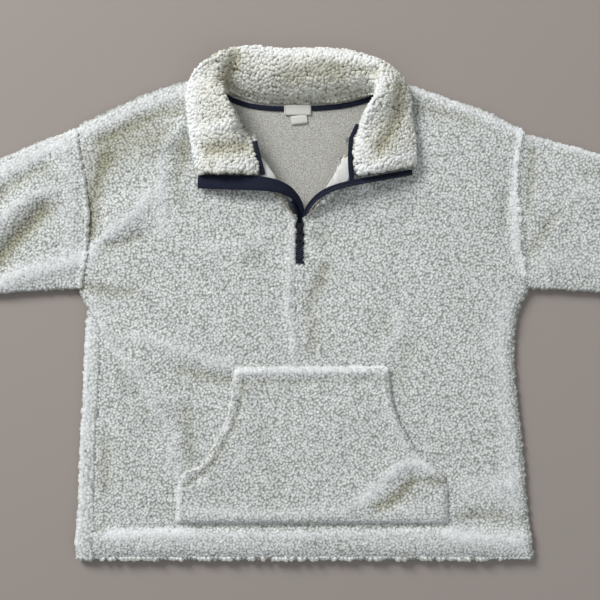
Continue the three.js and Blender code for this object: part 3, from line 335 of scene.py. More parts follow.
def pile_recipe():
    """Sets curls over the pile side of a shell, turned and sized unevenly, and never below the table."""
    tree = bpy.data.node_groups.new("pile", "GeometryNodeTree")
    tree.interface.new_socket("Geometry", in_out="OUTPUT", socket_type="NodeSocketGeometry")
    tree.interface.new_socket("Geometry", in_out="INPUT", socket_type="NodeSocketGeometry")
    for name in ("Curl", "Tuft"):
        tree.interface.new_socket(name, in_out="INPUT", socket_type="NodeSocketObject")
    for name in ("Pitch", "Height"):
        tree.interface.new_socket(name, in_out="INPUT", socket_type="NodeSocketFloat")
    tree.interface.new_socket("Seed", in_out="INPUT", socket_type="NodeSocketInt")
    given = tree.nodes.new("NodeGroupInput")
    result = tree.nodes.new("NodeGroupOutput")

    def node(kind, links=(), **values):
        """A node with its own settings, and its sockets fed."""
        made = tree.nodes.new(kind)
        for name, value in values.items():
            setattr(made, name, value)
        for socket, source in dict(links).items():
            feed(tree, made.inputs[socket], source)
        return made

    fur = node("GeometryNodeInputNamedAttribute", {"Name": "fur"}, data_type="FLOAT")
    wanted = node("FunctionNodeCompare", {0: fur.outputs[0], 1: 0.5}, operation="GREATER_THAN")
    square = node("ShaderNodeMath", {0: given.outputs["Pitch"], 1: -2.0}, operation="POWER")
    dense = node("ShaderNodeMath", {0: square.outputs[0], 1: CURL_TRIES}, operation="MULTIPLY")
    skin = node(
        "GeometryNodeSeparateGeometry", {"Geometry": given.outputs["Geometry"], "Selection": wanted.outputs[0]},
        domain="FACE",
    )
    points = node(
        "GeometryNodeDistributePointsOnFaces",
        {"Mesh": skin.outputs[0], "Distance Min": given.outputs["Pitch"],
         "Density Max": dense.outputs[0], "Seed": given.outputs["Seed"]},
        distribute_method="POISSON",
    )
    yaw = node("FunctionNodeRandomValue", {"Seed": 11}, data_type="FLOAT")
    yaw.inputs[2].default_value = 0.0
    yaw.inputs[3].default_value = 2 * math.pi
    spin = node("FunctionNodeAxisAngleToRotation", {"Axis": (0, 0, 1), "Angle": yaw.outputs[1]})
    turned = node(
        "FunctionNodeRotateRotation",
        {"Rotation": points.outputs["Rotation"], "Rotate By": spin.outputs[0]},
        rotation_space="LOCAL",
    )
    wide = node("FunctionNodeRandomValue", {"Seed": 12}, data_type="FLOAT_VECTOR")
    wide.inputs[0].default_value, wide.inputs[1].default_value = CURL_SIZES
    size = node(
        "ShaderNodeCombineXYZ",
        {"X": given.outputs["Pitch"], "Y": given.outputs["Pitch"], "Z": given.outputs["Height"]},
    )
    scale = node("ShaderNodeVectorMath", {0: wide.outputs[0], 1: size.outputs[0]}, operation="MULTIPLY")
    curl = node("GeometryNodeObjectInfo", {"Object": given.outputs["Curl"]})
    placed = node(
        "GeometryNodeInstanceOnPoints",
        {"Points": points.outputs["Points"], "Instance": curl.outputs["Geometry"], "Rotation": turned.outputs[0],
         "Scale": scale.outputs[0]},
    )
    tint = node("FunctionNodeRandomValue", {"Seed": 13}, data_type="FLOAT")
    kept = node(
        "GeometryNodeStoreNamedAttribute",
        {"Geometry": placed.outputs[0], "Name": "tint", "Value": tint.outputs[1]},
        data_type="FLOAT", domain="INSTANCE",
    )
    edge = node("GeometryNodeInputNamedAttribute", {"Name": "edge"}, data_type="FLOAT")
    frayed = node("FunctionNodeCompare", {0: edge.outputs[0], 1: 0.5}, operation="GREATER_THAN")
    border = node(
        "GeometryNodeSeparateGeometry", {"Geometry": given.outputs["Geometry"], "Selection": frayed.outputs[0]},
        domain="FACE",
    )
    edge_tufts = node(
        "GeometryNodeDistributePointsOnFaces",
        {"Mesh": border.outputs[0], "Distance Min": TUFT_PITCH,
         "Density Max": TUFT_TRIES / TUFT_PITCH**2, "Seed": given.outputs["Seed"]},
        distribute_method="POISSON",
    )
    tilt = node("FunctionNodeRandomValue", {"Seed": 21}, data_type="FLOAT_VECTOR")
    tilt.inputs[0].default_value = (-TUFT_LEAN, -TUFT_LEAN, -3.1)
    tilt.inputs[1].default_value = (TUFT_LEAN, TUFT_LEAN, 3.1)
    astray = node("FunctionNodeEulerToRotation", {0: tilt.outputs[0]})
    leaning = node(
        "FunctionNodeRotateRotation",
        {"Rotation": edge_tufts.outputs["Rotation"], "Rotate By": astray.outputs[0]},
        rotation_space="LOCAL",
    )
    fine = node("FunctionNodeRandomValue", {"Seed": 22}, data_type="FLOAT_VECTOR")
    fine.inputs[0].default_value, fine.inputs[1].default_value = TUFT_SIZES
    one_tuft = node("GeometryNodeObjectInfo", {"Object": given.outputs["Tuft"]})
    fringe = node(
        "GeometryNodeInstanceOnPoints",
        {"Points": edge_tufts.outputs["Points"], "Instance": one_tuft.outputs["Geometry"],
         "Rotation": leaning.outputs[0], "Scale": fine.outputs[0]},
    )
    together = node("GeometryNodeJoinGeometry")
    tree.links.new(kept.outputs[0], together.inputs[0])
    tree.links.new(fringe.outputs[0], together.inputs[0])
    real = node("GeometryNodeRealizeInstances", {"Geometry": together.outputs[0]})
    where = node("GeometryNodeInputPosition")
    crimp = node("ShaderNodeTexNoise", {"Vector": where.outputs[0], "Scale": CRIMP_SCALE, "Detail": 1.0})
    even = node("ShaderNodeVectorMath", {0: crimp.outputs["Color"], 1: (0.5, 0.5, 0.5)}, operation="SUBTRACT")
    swing = node("ShaderNodeVectorMath", {0: even.outputs[0], 1: CRIMP}, operation="MULTIPLY")
    moved = node("ShaderNodeVectorMath", {0: where.outputs[0], 1: swing.outputs[0]}, operation="ADD")
    parts = node("ShaderNodeSeparateXYZ", {0: moved.outputs[0]})
    lifted = node("ShaderNodeMath", {0: parts.outputs["Z"], 1: 0.0}, operation="MAXIMUM")
    back = node("ShaderNodeCombineXYZ", {"X": parts.outputs["X"], "Y": parts.outputs["Y"], "Z": lifted.outputs[0]})
    rested = node("GeometryNodeSetPosition", {"Geometry": real.outputs[0], "Position": back.outputs[0]})
    tree.links.new(rested.outputs[0], result.inputs[0])
    return tree


PILE_RECIPE = pile_recipe()
EDGE_RINGS = 3  # how many rows of faces from a cut edge carry fine tufts, on the underside
FOLD_RINGS = 2  # how many rows of faces from a folded edge have no curls, on the underside
UNDER = -0.5  # a face whose normal falls by more than this looks down at the table


def widened(spots, faces, rings):
    """The corners given and those of all faces within so many rows of them."""
    for _ in range(rings):
        spots = spots | {v for face in faces if not spots.isdisjoint(face.vertices) for v in face.vertices}
    return spots


def grow_pile(
    piece, pitch=CURL_PITCH, height=CURL_HEIGHT, curl=SMALL_CURL, seed=1, shorn=None, bound=None,
    finish=CREAM_CURLS, hidden_below=False, side=0.8,
):
    """Makes the pile of one cloth piece, as a piece of its own.

    Inside the box shorn, low x, y and high x, y, there is no pile, and inside the box bound no edge has tufts. A face
    whose normal rises or falls by less than side is steep, and carries fine tufts. With hidden_below there is none on
    the underside.
    """
    faces = piece.data.polygons
    rim = widened({v for face in faces if face.material_index == CUT_EDGE for v in face.vertices}, faces, EDGE_RINGS)
    fold = widened({v for face in faces if abs(face.normal.z) < side for v in face.vertices}, faces, FOLD_RINGS)
    furry, frayed = [], []
    for face in faces:
        x, y, _ = face.center
        clear = shorn and shorn[0] < x < shorn[2] and shorn[1] < y < shorn[3]
        clear = clear or (hidden_below and face.normal.z < UNDER)
        neat = bound and bound[0] < x < bound[2] and bound[1] < y < bound[3]
        pile = face.material_index != SMOOTH_SKIN and not clear and not (neat and face.material_index == CUT_EDGE)
        below = face.normal.z < 0
        fine = abs(face.normal.z) < side or (below and not rim.isdisjoint(face.vertices))
        tucked = below and not fold.isdisjoint(face.vertices)
        furry.append(float(pile and not fine and not tucked))
        frayed.append(float(pile and fine and not neat))
    for name, values in (("fur", furry), ("edge", frayed)):
        piece.data.attributes.new(name, "FLOAT", "FACE").data.foreach_set("value", values)
    pile = bpy.data.objects.new(piece.name.replace("_cloth", "_pile"), piece.data)
    bpy.context.collection.objects.link(pile)
    grown = pile.modifiers.new("pile", "NODES")
    grown.node_group = PILE_RECIPE
    inputs = {item.name: item.identifier for item in PILE_RECIPE.interface.items_tree if item.in_out == "INPUT"}
    grown[inputs["Curl"]] = curl
    grown[inputs["Tuft"]] = EDGE_TUFT
    grown[inputs["Pitch"]] = pitch
    grown[inputs["Height"]] = height
    grown[inputs["Seed"]] = seed
    settle(pile)
    pile.data.materials.clear()
    pile.data.materials.append(finish)
    return pile


MAP_SIDE, MAP_MARGIN = 0.48, 0.01  # shares of the map's side


def bake_map(piece):
    """Lays a piece out flat for baked colours: its upper and under faces, and its two skins, each in a quarter."""
    data = piece.data
    place, turned = np.empty(len(data.vertices) * 3), np.empty(len(data.polygons) * 3)
    data.vertices.foreach_get("co", place)
    data.polygons.foreach_get("normal", turned)
    corner, sides, finish = (np.empty(count, int) for count in (len(data.loops), *[len(data.polygons)] * 2))
    data.loops.foreach_get("vertex_index", corner)
    data.polygons.foreach_get("loop_total", sides)
    data.polygons.foreach_get("material_index", finish)
    flat = place.reshape(-1, 3)[:, :2]
    flat = (flat - flat.min(0)) / (flat.max(0) - flat.min(0))
    quarter = np.column_stack((turned.reshape(-1, 3)[:, 2] < 0, finish == SMOOTH_SKIN))
    spots = flat[corner] * MAP_SIDE + MAP_MARGIN + 0.5 * np.repeat(quarter, sides, axis=0)
    data.uv_layers.new(name="OFBake").data.foreach_set("uv", spots.ravel())


def fitted(piece, node=None, body="garment"):
    """Fixes a piece to its body, in place of the CAD node if one is given."""
    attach(piece, body)
    if node:
        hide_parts(node)


def dress(piece, pile, node):
    """Puts a cloth piece and its pile on the garment, in place of the CAD wall."""
    bake_map(piece)
    bake_map(pile)
    fitted(piece, node)
    fitted(pile)


# the fourth number of each crease is its painted light on the pile, and below 0 its painted shade
BACK_CREASES = [
    ("rolled side", 14, 0.0, 0.75, ((-272, -26), (-274, -80), (-277, -140), (-281, -200), (-283, -270), (-287, -312))),
    ("rolled side seam", 3.0, 0.0, -0.3, ((-252, -38), (-251, -58), (-255, -100), (-257, -160), (-260, -230))),
]
BACK_LAYER = 0.0055  # only the rolled side lies higher than this
BACK_PITCH = 0.0036  # the back's pile is hidden, all but its rolled side, so it is set a little wider
back = cloth_shell("back", smooth_at=(0, -0.1, 0.005), faces_up=True)
press_creases(back, BACK_CREASES, floor=BACK_LAYER)
sink_pile_side(back)
back_pile = grow_pile(back, pitch=BACK_PITCH, seed=2)
dress(back, back_pile, "back")

# ---- Front panel -----------------------------------------------------------------------------------------------
# The front of the body, the same knit, slit down its middle for the zip, where its smooth face turns out to both
# sides. It lies on the back, with the soft folds and the sewn hem of the photograph.

# the fourth number of each crease is its painted light on the pile, and below 0 its painted shade
FRONT_CREASES = [
    ("left armhole dip", 4.4, -0.4, -0.25, ((-280, 199), (-271, 165), (-269, 127), (-266, 81))),
    ("left shoulder rim", 6.3, 0, 0.9, ((-276, 212), (-253, 223), (-203, 245), (-146, 266))),
    ("left shoulder slope", 26, -1.0, -0.6, ((-235, 190), (-195, 205), (-155, 200))),
    ("left shoulder hollow", 7.6, -1.5, -0.55, ((-253, 201), (-215, 220), (-180, 237), (-146, 241))),
    ("left chest hollow", 12, -2, -0.8, ((-248, 177), (-256, 147), (-264, 119), (-265, 81))),
    ("left chest ridge", 7.6, 0.8, 0.9, ((-271, 48), (-260, 68), (-234, 90), (-205, 110), (-194, 132))),
    ("left collar ridge", 7.6, 1.2, 0.55, ((-147, 223), (-170, 193), (-177, 139), (-171, 86))),
    ("left collar hollow", 6.3, -1, -0.4, ((-144, 190), (-157, 150), (-147, 120))),
    ("left rib hollow", 6.3, -1.4, -0.5, ((-250, 68), (-223, 71), (-200, 82))),
    ("left underarm hollow", 7.6, -1.4, -0.55, ((-274, 18), (-241, 10), (-213, 10))),
    ("breast fold", 7.6, 0.8, 0.25, ((-117, 62), (-79, 68), (-51, 76))),
    ("under breast fold", 7.6, -0.8, -0.25, ((-71, 46), (-46, 56))),
    ("placket ridge", 5.7, 1.4, 0.45, ((-13, 41), (-15, 0), (-8, -48), (-6, -79))),
    ("placket hollow", 7.6, -1.2, -0.4, ((30, 41), (15, 0), (15, -66))),
    ("left zip ridge", 5.1, 0.8, 0.5, ((-11, 104), (-10, 76), (-13, 48))),
    ("long ridge", 5.1, 1.6, 0.5, (
        (-265, -3), (-252, -28), (-237, -58), (-218, -81), (-195, -114), (-179, -141), (-166, -162), (-161, -188),
        (-153, -223),
    )),
    ("long ridge hollow", 6.3, -1, -0.35, ((-231, -84), (-210, -111), (-190, -142))),
    ("pocket left hollow", 7.6, -1.3, -0.45, ((-144, -142), (-139, -177), (-138, -205))),
    ("pocket left ridge", 7, 1.6, 0.5, ((-203, -48), (-167, -57), (-127, -72), (-89, -84))),
    ("pocket left dip", 6.3, -1.2, -0.6, ((-150, -89), (-120, -96), (-87, -101))),
    ("pocket right ridge", 7.6, 1.2, 0.35, ((129, -15), (122, -48), (106, -73))),
    ("pocket right hollow", 8.9, -0.9, -0.3, ((139, -58), (132, -84), (124, -106))),
    ("right belly swell", 15.2, 1.2, 0.4, ((215, -238), (266, -233))),
    ("right belly dip", 4.4, -0.8, -0.4, ((210, -271), (256, -270))),
    ("right side painted highlight", 11.4, 0, 0.5, ((260, 5), (253, -51), (258, -127), (265, -190), (271, -260))),
    ("left side hollow", 6.3, -0.8, -0.45, ((-247, -177), (-245, -243))),
    ("right armhole ridge", 5.7, 1.8, 1, ((281, 210), (275, 171), (272, 120), (276, 63), (284, 34))),
    ("right armhole dip", 5.1, -1, -0.4, ((257, 132), (257, 94))),
    ("right shoulder rim", 5.7, 0, 0.7, ((137, 269), (177, 255), (228, 236), (276, 214))),
    ("right shoulder hollow", 10.1, -1.2, -0.35, ((144, 243), (177, 238), (215, 226))),
    ("under lapel hollow", 8.9, -1.2, -0.3, ((33, 86), (30, 68))),
    ("zip foot hollow", 7.6, -0.9, -0.3, ((30, 38), (28, 13))),
    ("lower chest hollow", 6.3, -0.8, -0.25, ((106, -15), (106, -35))),
    ("hem crest left", 7.6, 0.8, 0.9, ((-238, -295), (-195, -294), (-144, -293))),
    ("hem crest middle", 5.1, 0.6, 0.45, ((-144, -295), (0, -296), (190, -294))),
    ("hem crest right", 10.1, 0.8, 0.8, ((190, -296), (228, -299), (281, -302))),
    ("hem stitch dip", 4.1, -0.6, -0.35, ((-144, -285), (-76, -286), (0, -285), (101, -284), (193, -281))),
    ("hem stitch dip left", 3.2, -0.8, -0.35, ((-256, -288), (-203, -288), (-152, -286))),
    ("hem stitch dip right", 3.2, -0.8, -0.4, ((198, -276), (241, -275), (284, -277))),
    ("hem middle dip", 6.3, -0.4, -0.25, ((13, -312), (76, -312))),
    ("hem painted highlight", 16, 0, 0.2, ((-262, -307), (-90, -308), (110, -307), (274, -309))),
]
UNDER_LAYER = 0.0048  # what lies lower than this is the front's or a sleeve's own underside, and stays flat
TURNED_LEFT = (4, 6.4, 10.5, 20, 46, 128), (106, 114, 123, 130, 135, 139)  # the turned edge, across and along, in mm
TURNED_RIGHT = (5.2, 9.5, 17, 28, 44, 68, 92, 118), (105, 114, 123, 132, 138.5, 144.5, 149, 154)
TURNED_FROM, TURNED_REACH = 95, 128
ZIP_GAP = -0.0076, 0.043, 0.0076, 0.100  # no pile over the closed zip
NECK_EDGES = -0.118, 0.09, 0.118, 0.262  # edges sewn to the zip and the collar, with no loose tufts

front = cloth_shell("front", smooth_at=(0, -0.1, 0.004))
press_creases(front, FRONT_CREASES, floor=UNDER_LAYER)
sink_pile_side(front)
for face in front.data.polygons:
    across, along, _ = face.center * 1000
    folded_at = np.interp(abs(across), *(TURNED_LEFT if across < 0 else TURNED_RIGHT))
    if TURNED_FROM < along < folded_at and face.normal.z > 0.2 and face.material_index == SMOOTH_SKIN:
        face.material_index = PILE_SKIN
    elif along > TURNED_FROM and abs(across) < TURNED_REACH and face.material_index == CUT_EDGE:
        face.material_index = SMOOTH_SKIN
front_pile = grow_pile(front, seed=3, shorn=ZIP_GAP, bound=NECK_EDGES)
dress(front, front_pile, "front")

# ---- Sleeves ---------------------------------------------------------------------------------------------------
# Two drop-shoulder tubes of the same knit, with the pile outward. Each is sewn along its underside and into its
# armhole, and its cuff is turned in and stitched.

# the fourth number of each crease is its painted light on the pile, and below 0 its painted shade
SLEEVE_LEFT_CREASES = [
    ("shoulder rim", 10.1, 0, 0.9, ((-456, 132), (-380, 165), (-329, 188), (-281, 209))),
    ("upper valley", 7.6, -2.5, -0.6, ((-431, 94), (-380, 133), (-355, 151), (-322, 170))),
    ("middle ridge", 5.1, 1.5, 0.8, ((-431, 53), (-380, 99), (-361, 118), (-336, 132), (-309, 139))),
    ("deep valley", 12.5, -4.2, -1, ((-423, 0), (-380, 53), (-355, 82), (-324, 114))),
    ("lower ridge", 11.4, 2.2, 1.0, ((-380, 20), (-350, 34), (-304, 43), (-274, 56))),
    ("seam bulge", 8.9, 0.5, 0.35, ((-304, 190), (-291, 152), (-289, 101), (-296, 63))),
    ("armhole dip", 3.8, -0.4, -0.25, ((-283, 203), (-274, 167), (-271, 127), (-269, 86), (-271, 66))),
    ("outer upper valley", 8.2, -1.8, -0.45, ((-478, 96), (-521, 101), (-574, 84), (-602, 79))),
    ("outer middle ridge", 7.1, 1.3, 0.35, ((-502, 58), (-549, 63), (-611, 41))),
    ("outer lower valley", 10.4, -2.1, -0.5, ((-489, 12), (-537, 24), (-583, 11), (-628, 19))),
    ("outer lower ridge", 7.8, 1.1, 0.3, ((-561, -22), (-618, -17), (-659, -31))),
    ("cuff dip", 4.4, -0.8, -0.35, ((-716, 88), (-719, 41), (-714, -8))),
]
# the fourth number of each crease is its painted light on the pile, and below 0 its painted shade
SLEEVE_RIGHT_CREASES = [
    ("shoulder rim", 5.7, 0, 0.7, ((284, 212), (329, 198), (380, 182), (456, 165))),
    ("seam dip", 6.3, -1.2, -0.45, ((294, 190), (291, 152), (291, 114))),
    ("lower seam dip", 6.3, -1.4, -0.5, ((290, 56), (304, 79), (319, 106))),
    ("lower swell", 10.1, 1, 0.3, ((304, 48), (348, 48), (393, 43))),
    ("upper swell", 8.9, 0.8, 0.25, ((342, 132), (367, 144))),
    ("outer dip", 7.6, -1, -0.3, ((367, 157), (380, 170))),
    ("outer upper valley", 9.3, -1.6, -0.4, ((486, 108), (533, 92), (571, 95), (618, 74))),
    ("outer middle ridge", 6.4, 1.2, 0.35, ((509, 61), (563, 49), (597, 52))),
    ("outer lower valley", 8.8, -1.9, -0.45, ((471, 21), (524, 9), (586, 17), (641, -4))),
    ("outer lower ridge", 8.1, 1.0, 0.3, ((538, -24), (602, -31))),
    ("cuff dip", 4.4, -0.8, -0.35, ((717, 79), (714, 37), (719, -14))),
]
for side, spot, creases, seed in (
    ("left", (-0.5, 0.05, 0.0045), SLEEVE_LEFT_CREASES, 4),
    ("right", (0.5, 0.05, 0.0045), SLEEVE_RIGHT_CREASES, 5),
):
    sleeve = cloth_shell("sleeve_" + side, smooth_at=spot, faces_up=True)
    press_creases(sleeve, creases, floor=UNDER_LAYER)
    sink_pile_side(sleeve)
    sleeve_pile = grow_pile(sleeve, seed=seed)
    dress(sleeve, sleeve_pile, "sleeve_" + side)

# ---- Pocket ----------------------------------------------------------------------------------------------------
# A kangaroo pocket of the same knit, its edges turned in and topstitched. It is sewn to the front at its top, its
# short sides and its foot, and its two curved edges are left open for the hands.

# the fourth number of each crease is its painted light on the pile, and below 0 its painted shade
POCKET_CREASES = [
    ("sewn foot", 4.5, -1.2, 0.5, ((-158, -281), (0, -283), (187, -279))),
    ("sewn right side", 4.5, -1.4, 0.6, ((187, -279), (187, -212))),
    ("sewn left side", 4.0, -1.6, 0.1, ((-158, -281), (-157, -232))),
    ("top edge", 4.6, 1, 0.9, ((-79, -90), (0, -89), (110, -86))),
    ("left edge", 3.5, 1, 0.75, (
        (-80, -94), (-85, -129), (-94, -160), (-108, -182), (-122, -200), (-137, -215), (-150, -223),
    )),
    ("left groove", 3.3, -1, -0.55, (
        (-70, -106), (-75, -129), (-81, -152), (-92, -175), (-111, -207), (-127, -222), (-141, -233),
    )),
    ("left side edge", 3.5, 0.6, 0.7, ((-153, -231), (-154, -279))),
    ("right edge", 3.8, 1, 0.4, ((108, -96), (111, -129), (118, -153), (129, -177), (144, -196))),
    ("top groove", 3.8, -0.6, -0.35, ((-68, -103), (0, -103), (101, -100))),
    ("right fold ridge", 6.3, 1.2, 0.95, ((73, -256), (94, -239), (111, -222), (124, -210), (147, -204), (172, -214))),
    ("right fold hollow", 6.3, -1.6, -1, ((101, -260), (119, -252), (133, -238), (143, -227))),
    ("right notch", 3.8, -1.4, -0.8, ((161, -226), (182, -231))),
    ("foot crest", 6.3, 0.8, 0.4, ((-139, -267), (-63, -269), (0, -269), (66, -264))),
    ("foot crest right", 6.3, 0.5, 0.3, ((122, -266), (167, -260))),
    ("inner left swell", 6.3, 0.5, 0.3, ((-127, -238), (-118, -228))),
    ("middle hollow", 7.6, -0.6, -0.25, ((-43, -165), (-48, -182))),
    ("low hollow", 7.6, -0.6, -0.25, ((-30, -210), (-35, -253))),
]
pocket = cloth_shell("pocket", smooth_at=(0, -0.2, 0.01), square=0.3)
press_creases(pocket, POCKET_CREASES)
sink_pile_side(pocket)
pocket_pile = grow_pile(pocket, seed=6)
dress(pocket, pocket_pile, "pocket")

# ---- Collar ----------------------------------------------------------------------------------------------------
# A stand collar in a plumper sherpa on both faces, one strip folded at its top edge and sewn round the neck at its
# foot. It is open at the front and has fallen to both sides.

# the fourth number of each crease is its painted light on the pile, and below 0 its painted shade
COLLAR_CREASES = [
    ("left rim", 7.6, 0.5, 0.7, ((-124, 291), (-134, 266), (-134, 238), (-133, 209))),
    ("left ridge", 6.3, 1.5, 0.75, ((-132, 208), (-111, 210), (-86, 217))),
    ("left hollow", 8.9, -2.5, -0.8, ((-114, 186), (-91, 189), (-68, 190))),
    ("left foot crest", 6.3, 1, 0.6, ((-96, 167), (-57, 167))),
    ("left lower rim", 6.3, 0.5, 0.6, ((-134, 190), (-131, 169))),
    ("left dimple", 8.9, -3, -1, ((-79, 309), (-84, 291), (-94, 274))),
    ("right roll", 7.6, 1, 0.9, ((104, 274), (91, 248), (80, 223), (75, 193), (75, 157))),
    ("right hollow", 8.9, -2, -0.9, ((125, 264), (122, 231), (111, 205), (99, 188))),
    ("right foot crest", 6.3, 1.2, 0.9, ((77, 157), (108, 169), (143, 181))),
    ("back hollow", 13, -2.5, -0.6, ((-15, 276), (23, 286), (48, 279))),
    ("back crease", 3.8, -1, -0.5, ((38, 291), (63, 289), (96, 281))),
    ("back rim", 9, 0, 0.8, ((-81, 317), (-38, 309), (25, 310), (91, 300))),
    ("left outer rim", 10, 0, 0.6, ((-140, 290), (-142, 240), (-138, 200), (-130, 172))),
    ("foot seam", 2.6, -0.8, -0.5, ((-95, 272), (-76, 263), (-47, 255), (-19, 252), (15, 253), (46, 258), (76, 263))),
]
# its second colour is the painted shade of its hollows
COLLAR_CURLS = sherpa_curls("cream_collar_curls", (0.87, 0.875, 0.80, 1), (0.45, 0.42, 0.31, 1))
plump = bmesh.new()
bmesh.ops.create_uvsphere(plump, u_segments=6, v_segments=4, radius=1.0)
bmesh.ops.delete(plump, geom=[v for v in plump.verts if v.co.z < -0.01], context="VERTS")
bmesh.ops.scale(plump, verts=plump.verts, vec=(0.8, 0.8, 1.0))
PLUMP_CURL = curl_object("plump_curl", plump, 0.2)

collar = cloth_shell("collar", hollow=0.0045, square=0.2)
press_creases(collar, COLLAR_CREASES)
sink_pile_side(collar)
collar_pile = grow_pile(
    collar, pitch=0.0033, height=0.0026, curl=PLUMP_CURL, seed=7, finish=COLLAR_CURLS, hidden_below=True, side=0.6
)
dress(collar, collar_pile, "collar")

# ---- Neck tapes ------------------------------------------------------------------------------------------------
# A narrow navy tape of woven cotton that covers the back neck seam, under the collar, and two short ends of it on the
# front neck seams. Its two front ends are stitched down along both edges.


def navy_weave(name, warp, weft, thread):
    """A close plain weave: ribs across ribs, each thread as wide as given."""
    material, tree, look, place = new_finish(name, Roughness=0.75, Specular_IOR_Level=0.25)
    scale = math.pi / 10 / thread
    ribs, cross = (
        shader_node(tree, "ShaderNodeTexWave", Vector=place, Scale=scale, Distortion=1.2, Detail=2.0)
        for _ in range(2)
    )
    cross.bands_direction = "Y"
    woven = maths(tree, "MULTIPLY", ribs.outputs["Fac"], cross.outputs["Fac"])
    worn = maths(tree, "MULTIPLY", woven, speckle(tree, place, 260.0, 4.0, 0.7))
    tree.links.new(blend(tree, worn, weft, warp), look.inputs["Base Color"])
    raised(tree, look, woven, 0.6, 0.0003)
    return material


NAVY_WEAVE = navy_weave("navy_woven_tape", (0.034, 0.048, 0.115, 1), (0.006, 0.009, 0.022, 1), 0.0007)
NAVY_THREAD = navy_weave("navy_sewing_thread", (0.060, 0.072, 0.130, 1), (0.014, 0.018, 0.038, 1), 0.0003)


def thin_piece(node, name, finish, ease=0.0):
    """A tape or label from the CAD's own shape, its edges kept, its length smoothed, each side let out by ease."""
    piece = cloth_shell(node, square=0.8)
    piece.name = piece.data.name = name
    piece.data.materials.clear()
    piece.data.materials.append(finish)
    for vertex in piece.data.vertices:
        outward = Vector((vertex.normal.x, vertex.normal.y, 0))
        if ease and outward.length > 0.3:
            vertex.co += outward.normalized() * ease
    return piece


def evenly_along(line, step, offset=0.0, lift=0.0):
    """Places one step apart along a line given in mm, with the heading there, offset to its right and lifted."""
    line = [Vector(point) / 1000 for point in line]
    places, left = [], 0.0
    for start, end in zip(line[:-1], line[1:]):
        run = end - start
        ahead = run.normalized()
        right = ahead.cross(Vector((0, 0, 1))).normalized()
        while left < run.length:
            places.append((start + ahead * left + right * offset + Vector((0, 0, lift)), ahead))
            left += step
        left -= run.length
    return places


def joined_row(name, shape, places, finish):
    """One small shape, along x, repeated at each place along its heading, all joined as one piece of the garment."""
    mesh = bmesh.new()
    for spot, ahead in places:
        known = len(mesh.verts)
        mesh.from_mesh(shape)
        mesh.verts.ensure_lookup_table()
        turn = ahead.to_track_quat("X", "Z").to_matrix().to_4x4()
        turn.translation = spot
        bmesh.ops.transform(mesh, matrix=turn, verts=mesh.verts[known:])
    fitted(made_piece(name, mesh, finish))


def small_block(name, length, width, height, rounding):
    """A small block with rounded edges, centred, its length along x."""
    mesh = bmesh.new()
    bmesh.ops.create_cube(mesh, size=1.0)
    bmesh.ops.scale(mesh, verts=mesh.verts, vec=(length, width, height))
    bmesh.ops.bevel(
        mesh, geom=mesh.edges[:], offset=rounding, segments=2, profile=0.5, material=-1, affect="EDGES"
    )
    for face in mesh.faces:
        face.smooth = True
    data = bpy.data.meshes.new(name)
    mesh.to_mesh(data)
    mesh.free()
    return data


STITCH = small_block("stitch", 0.0021, 0.00045, 0.00035, 0.00014)
STITCH_STEP = 0.0028


def lengthened(piece, towards, far, *moves):
    """Draws out a tape's end that faces towards, past the far distance that way, by each of the moves in turn."""
    mesh = bmesh.new()
    mesh.from_mesh(piece.data)
    towards = Vector(towards).normalized()
    end = [f for f in mesh.faces if f.calc_center_median().dot(towards) > far and f.normal.dot(towards) > 0.5]
    for move in moves:
        drawn = bmesh.ops.extrude_face_region(mesh, geom=end)["geom"]
        bmesh.ops.delete(mesh, geom=end, context="FACES")
        end = [part for part in drawn if isinstance(part, bmesh.types.BMFace)]
        tips = list({v for face in end for v in face.verts})
        bmesh.ops.translate(mesh, verts=tips, vec=Vector(move) / 1000)
    mesh.to_mesh(piece.data)
    mesh.free()


for node, name, ends in (
    ("neck_tape", "neck_tape_weave", (
        ((-1, 0.5, 0), 0.190, (-8, 5.5, 0), (-9, 8, 0)),
        ((1, 0.3, 0), 0.140, (7, 2.5, 0), (7, 4.5, 0)),
    )),
    ("neck_tape_left", "neck_tape_left_weave", (
        ((-0.3, 1, 0), 0.184, (-3, 13, 0)),
        ((0.3, -1, 0), -0.160, (1.2, -6, -1)),
    )),
    ("neck_tape_right", "neck_tape_right_weave", (
        ((0, 1, 0), 0.181, (1, 17, 0), (8, 17, 1)),
        ((0.2, -1, 0), -0.140, (0.8, -4, -0.5)),
    )),
):
    tape = thin_piece(node, name, NAVY_WEAVE, ease=0.0006)
    for towards, far, *moves in ends:
        lengthened(tape, towards, far, *moves)
    fitted(tape, node)

NECK_TAPE_LEFT = ((-46, 156.5, 27.7), (-49.5, 170, 29.0), (-53, 184, 29.5))
NECK_TAPE_RIGHT = ((64.5, 150, 27.7), (62.5, 168, 29.0), (62.5, 184, 29.5))
seams = [
    evenly_along(line, STITCH_STEP, offset=side, lift=0.0001)
    for line in (NECK_TAPE_LEFT, NECK_TAPE_RIGHT) for side in (-0.0018, 0.0018)
]
joined_row("neck_tape_stitches", STITCH, sum(seams, []), NAVY_THREAD)

# ---- Zip guard -------------------------------------------------------------------------------------------------
# A wide navy woven strip behind the left side of the zip. It runs up the front edge, turns out with the collar and ends
# square. Two rows of stitches hold its folded edges.

ZIP_GUARD = (  # its middle line and width, in mm
    (-128.5, 148.5, 17.5, 17), (-108, 147.8, 20, 17.5), (-88, 147, 23, 18), (-66, 146.3, 26, 18.5), (-46, 145, 28, 18),
    (-28, 142, 27.8, 16), (-14, 136.5, 24.5, 13), (-4, 128, 18.5, 9), (2, 118, 12.5, 6.5), (4, 109, 9, 4),
)


def beside(rows, side, inset):
    """The line along one side of a strip whose rows give place and width, inset from its edge, in mm."""
    made = []
    for index, (x, y, z, width) in enumerate(rows):
        before, after = rows[max(index - 1, 0)], rows[min(index + 1, len(rows) - 1)]
        ahead = Vector((after[0] - before[0], after[1] - before[1])).normalized()
        out = side * (width / 2 - inset)
        made.append((x + ahead.y * out, y - ahead.x * out, z))
    return made


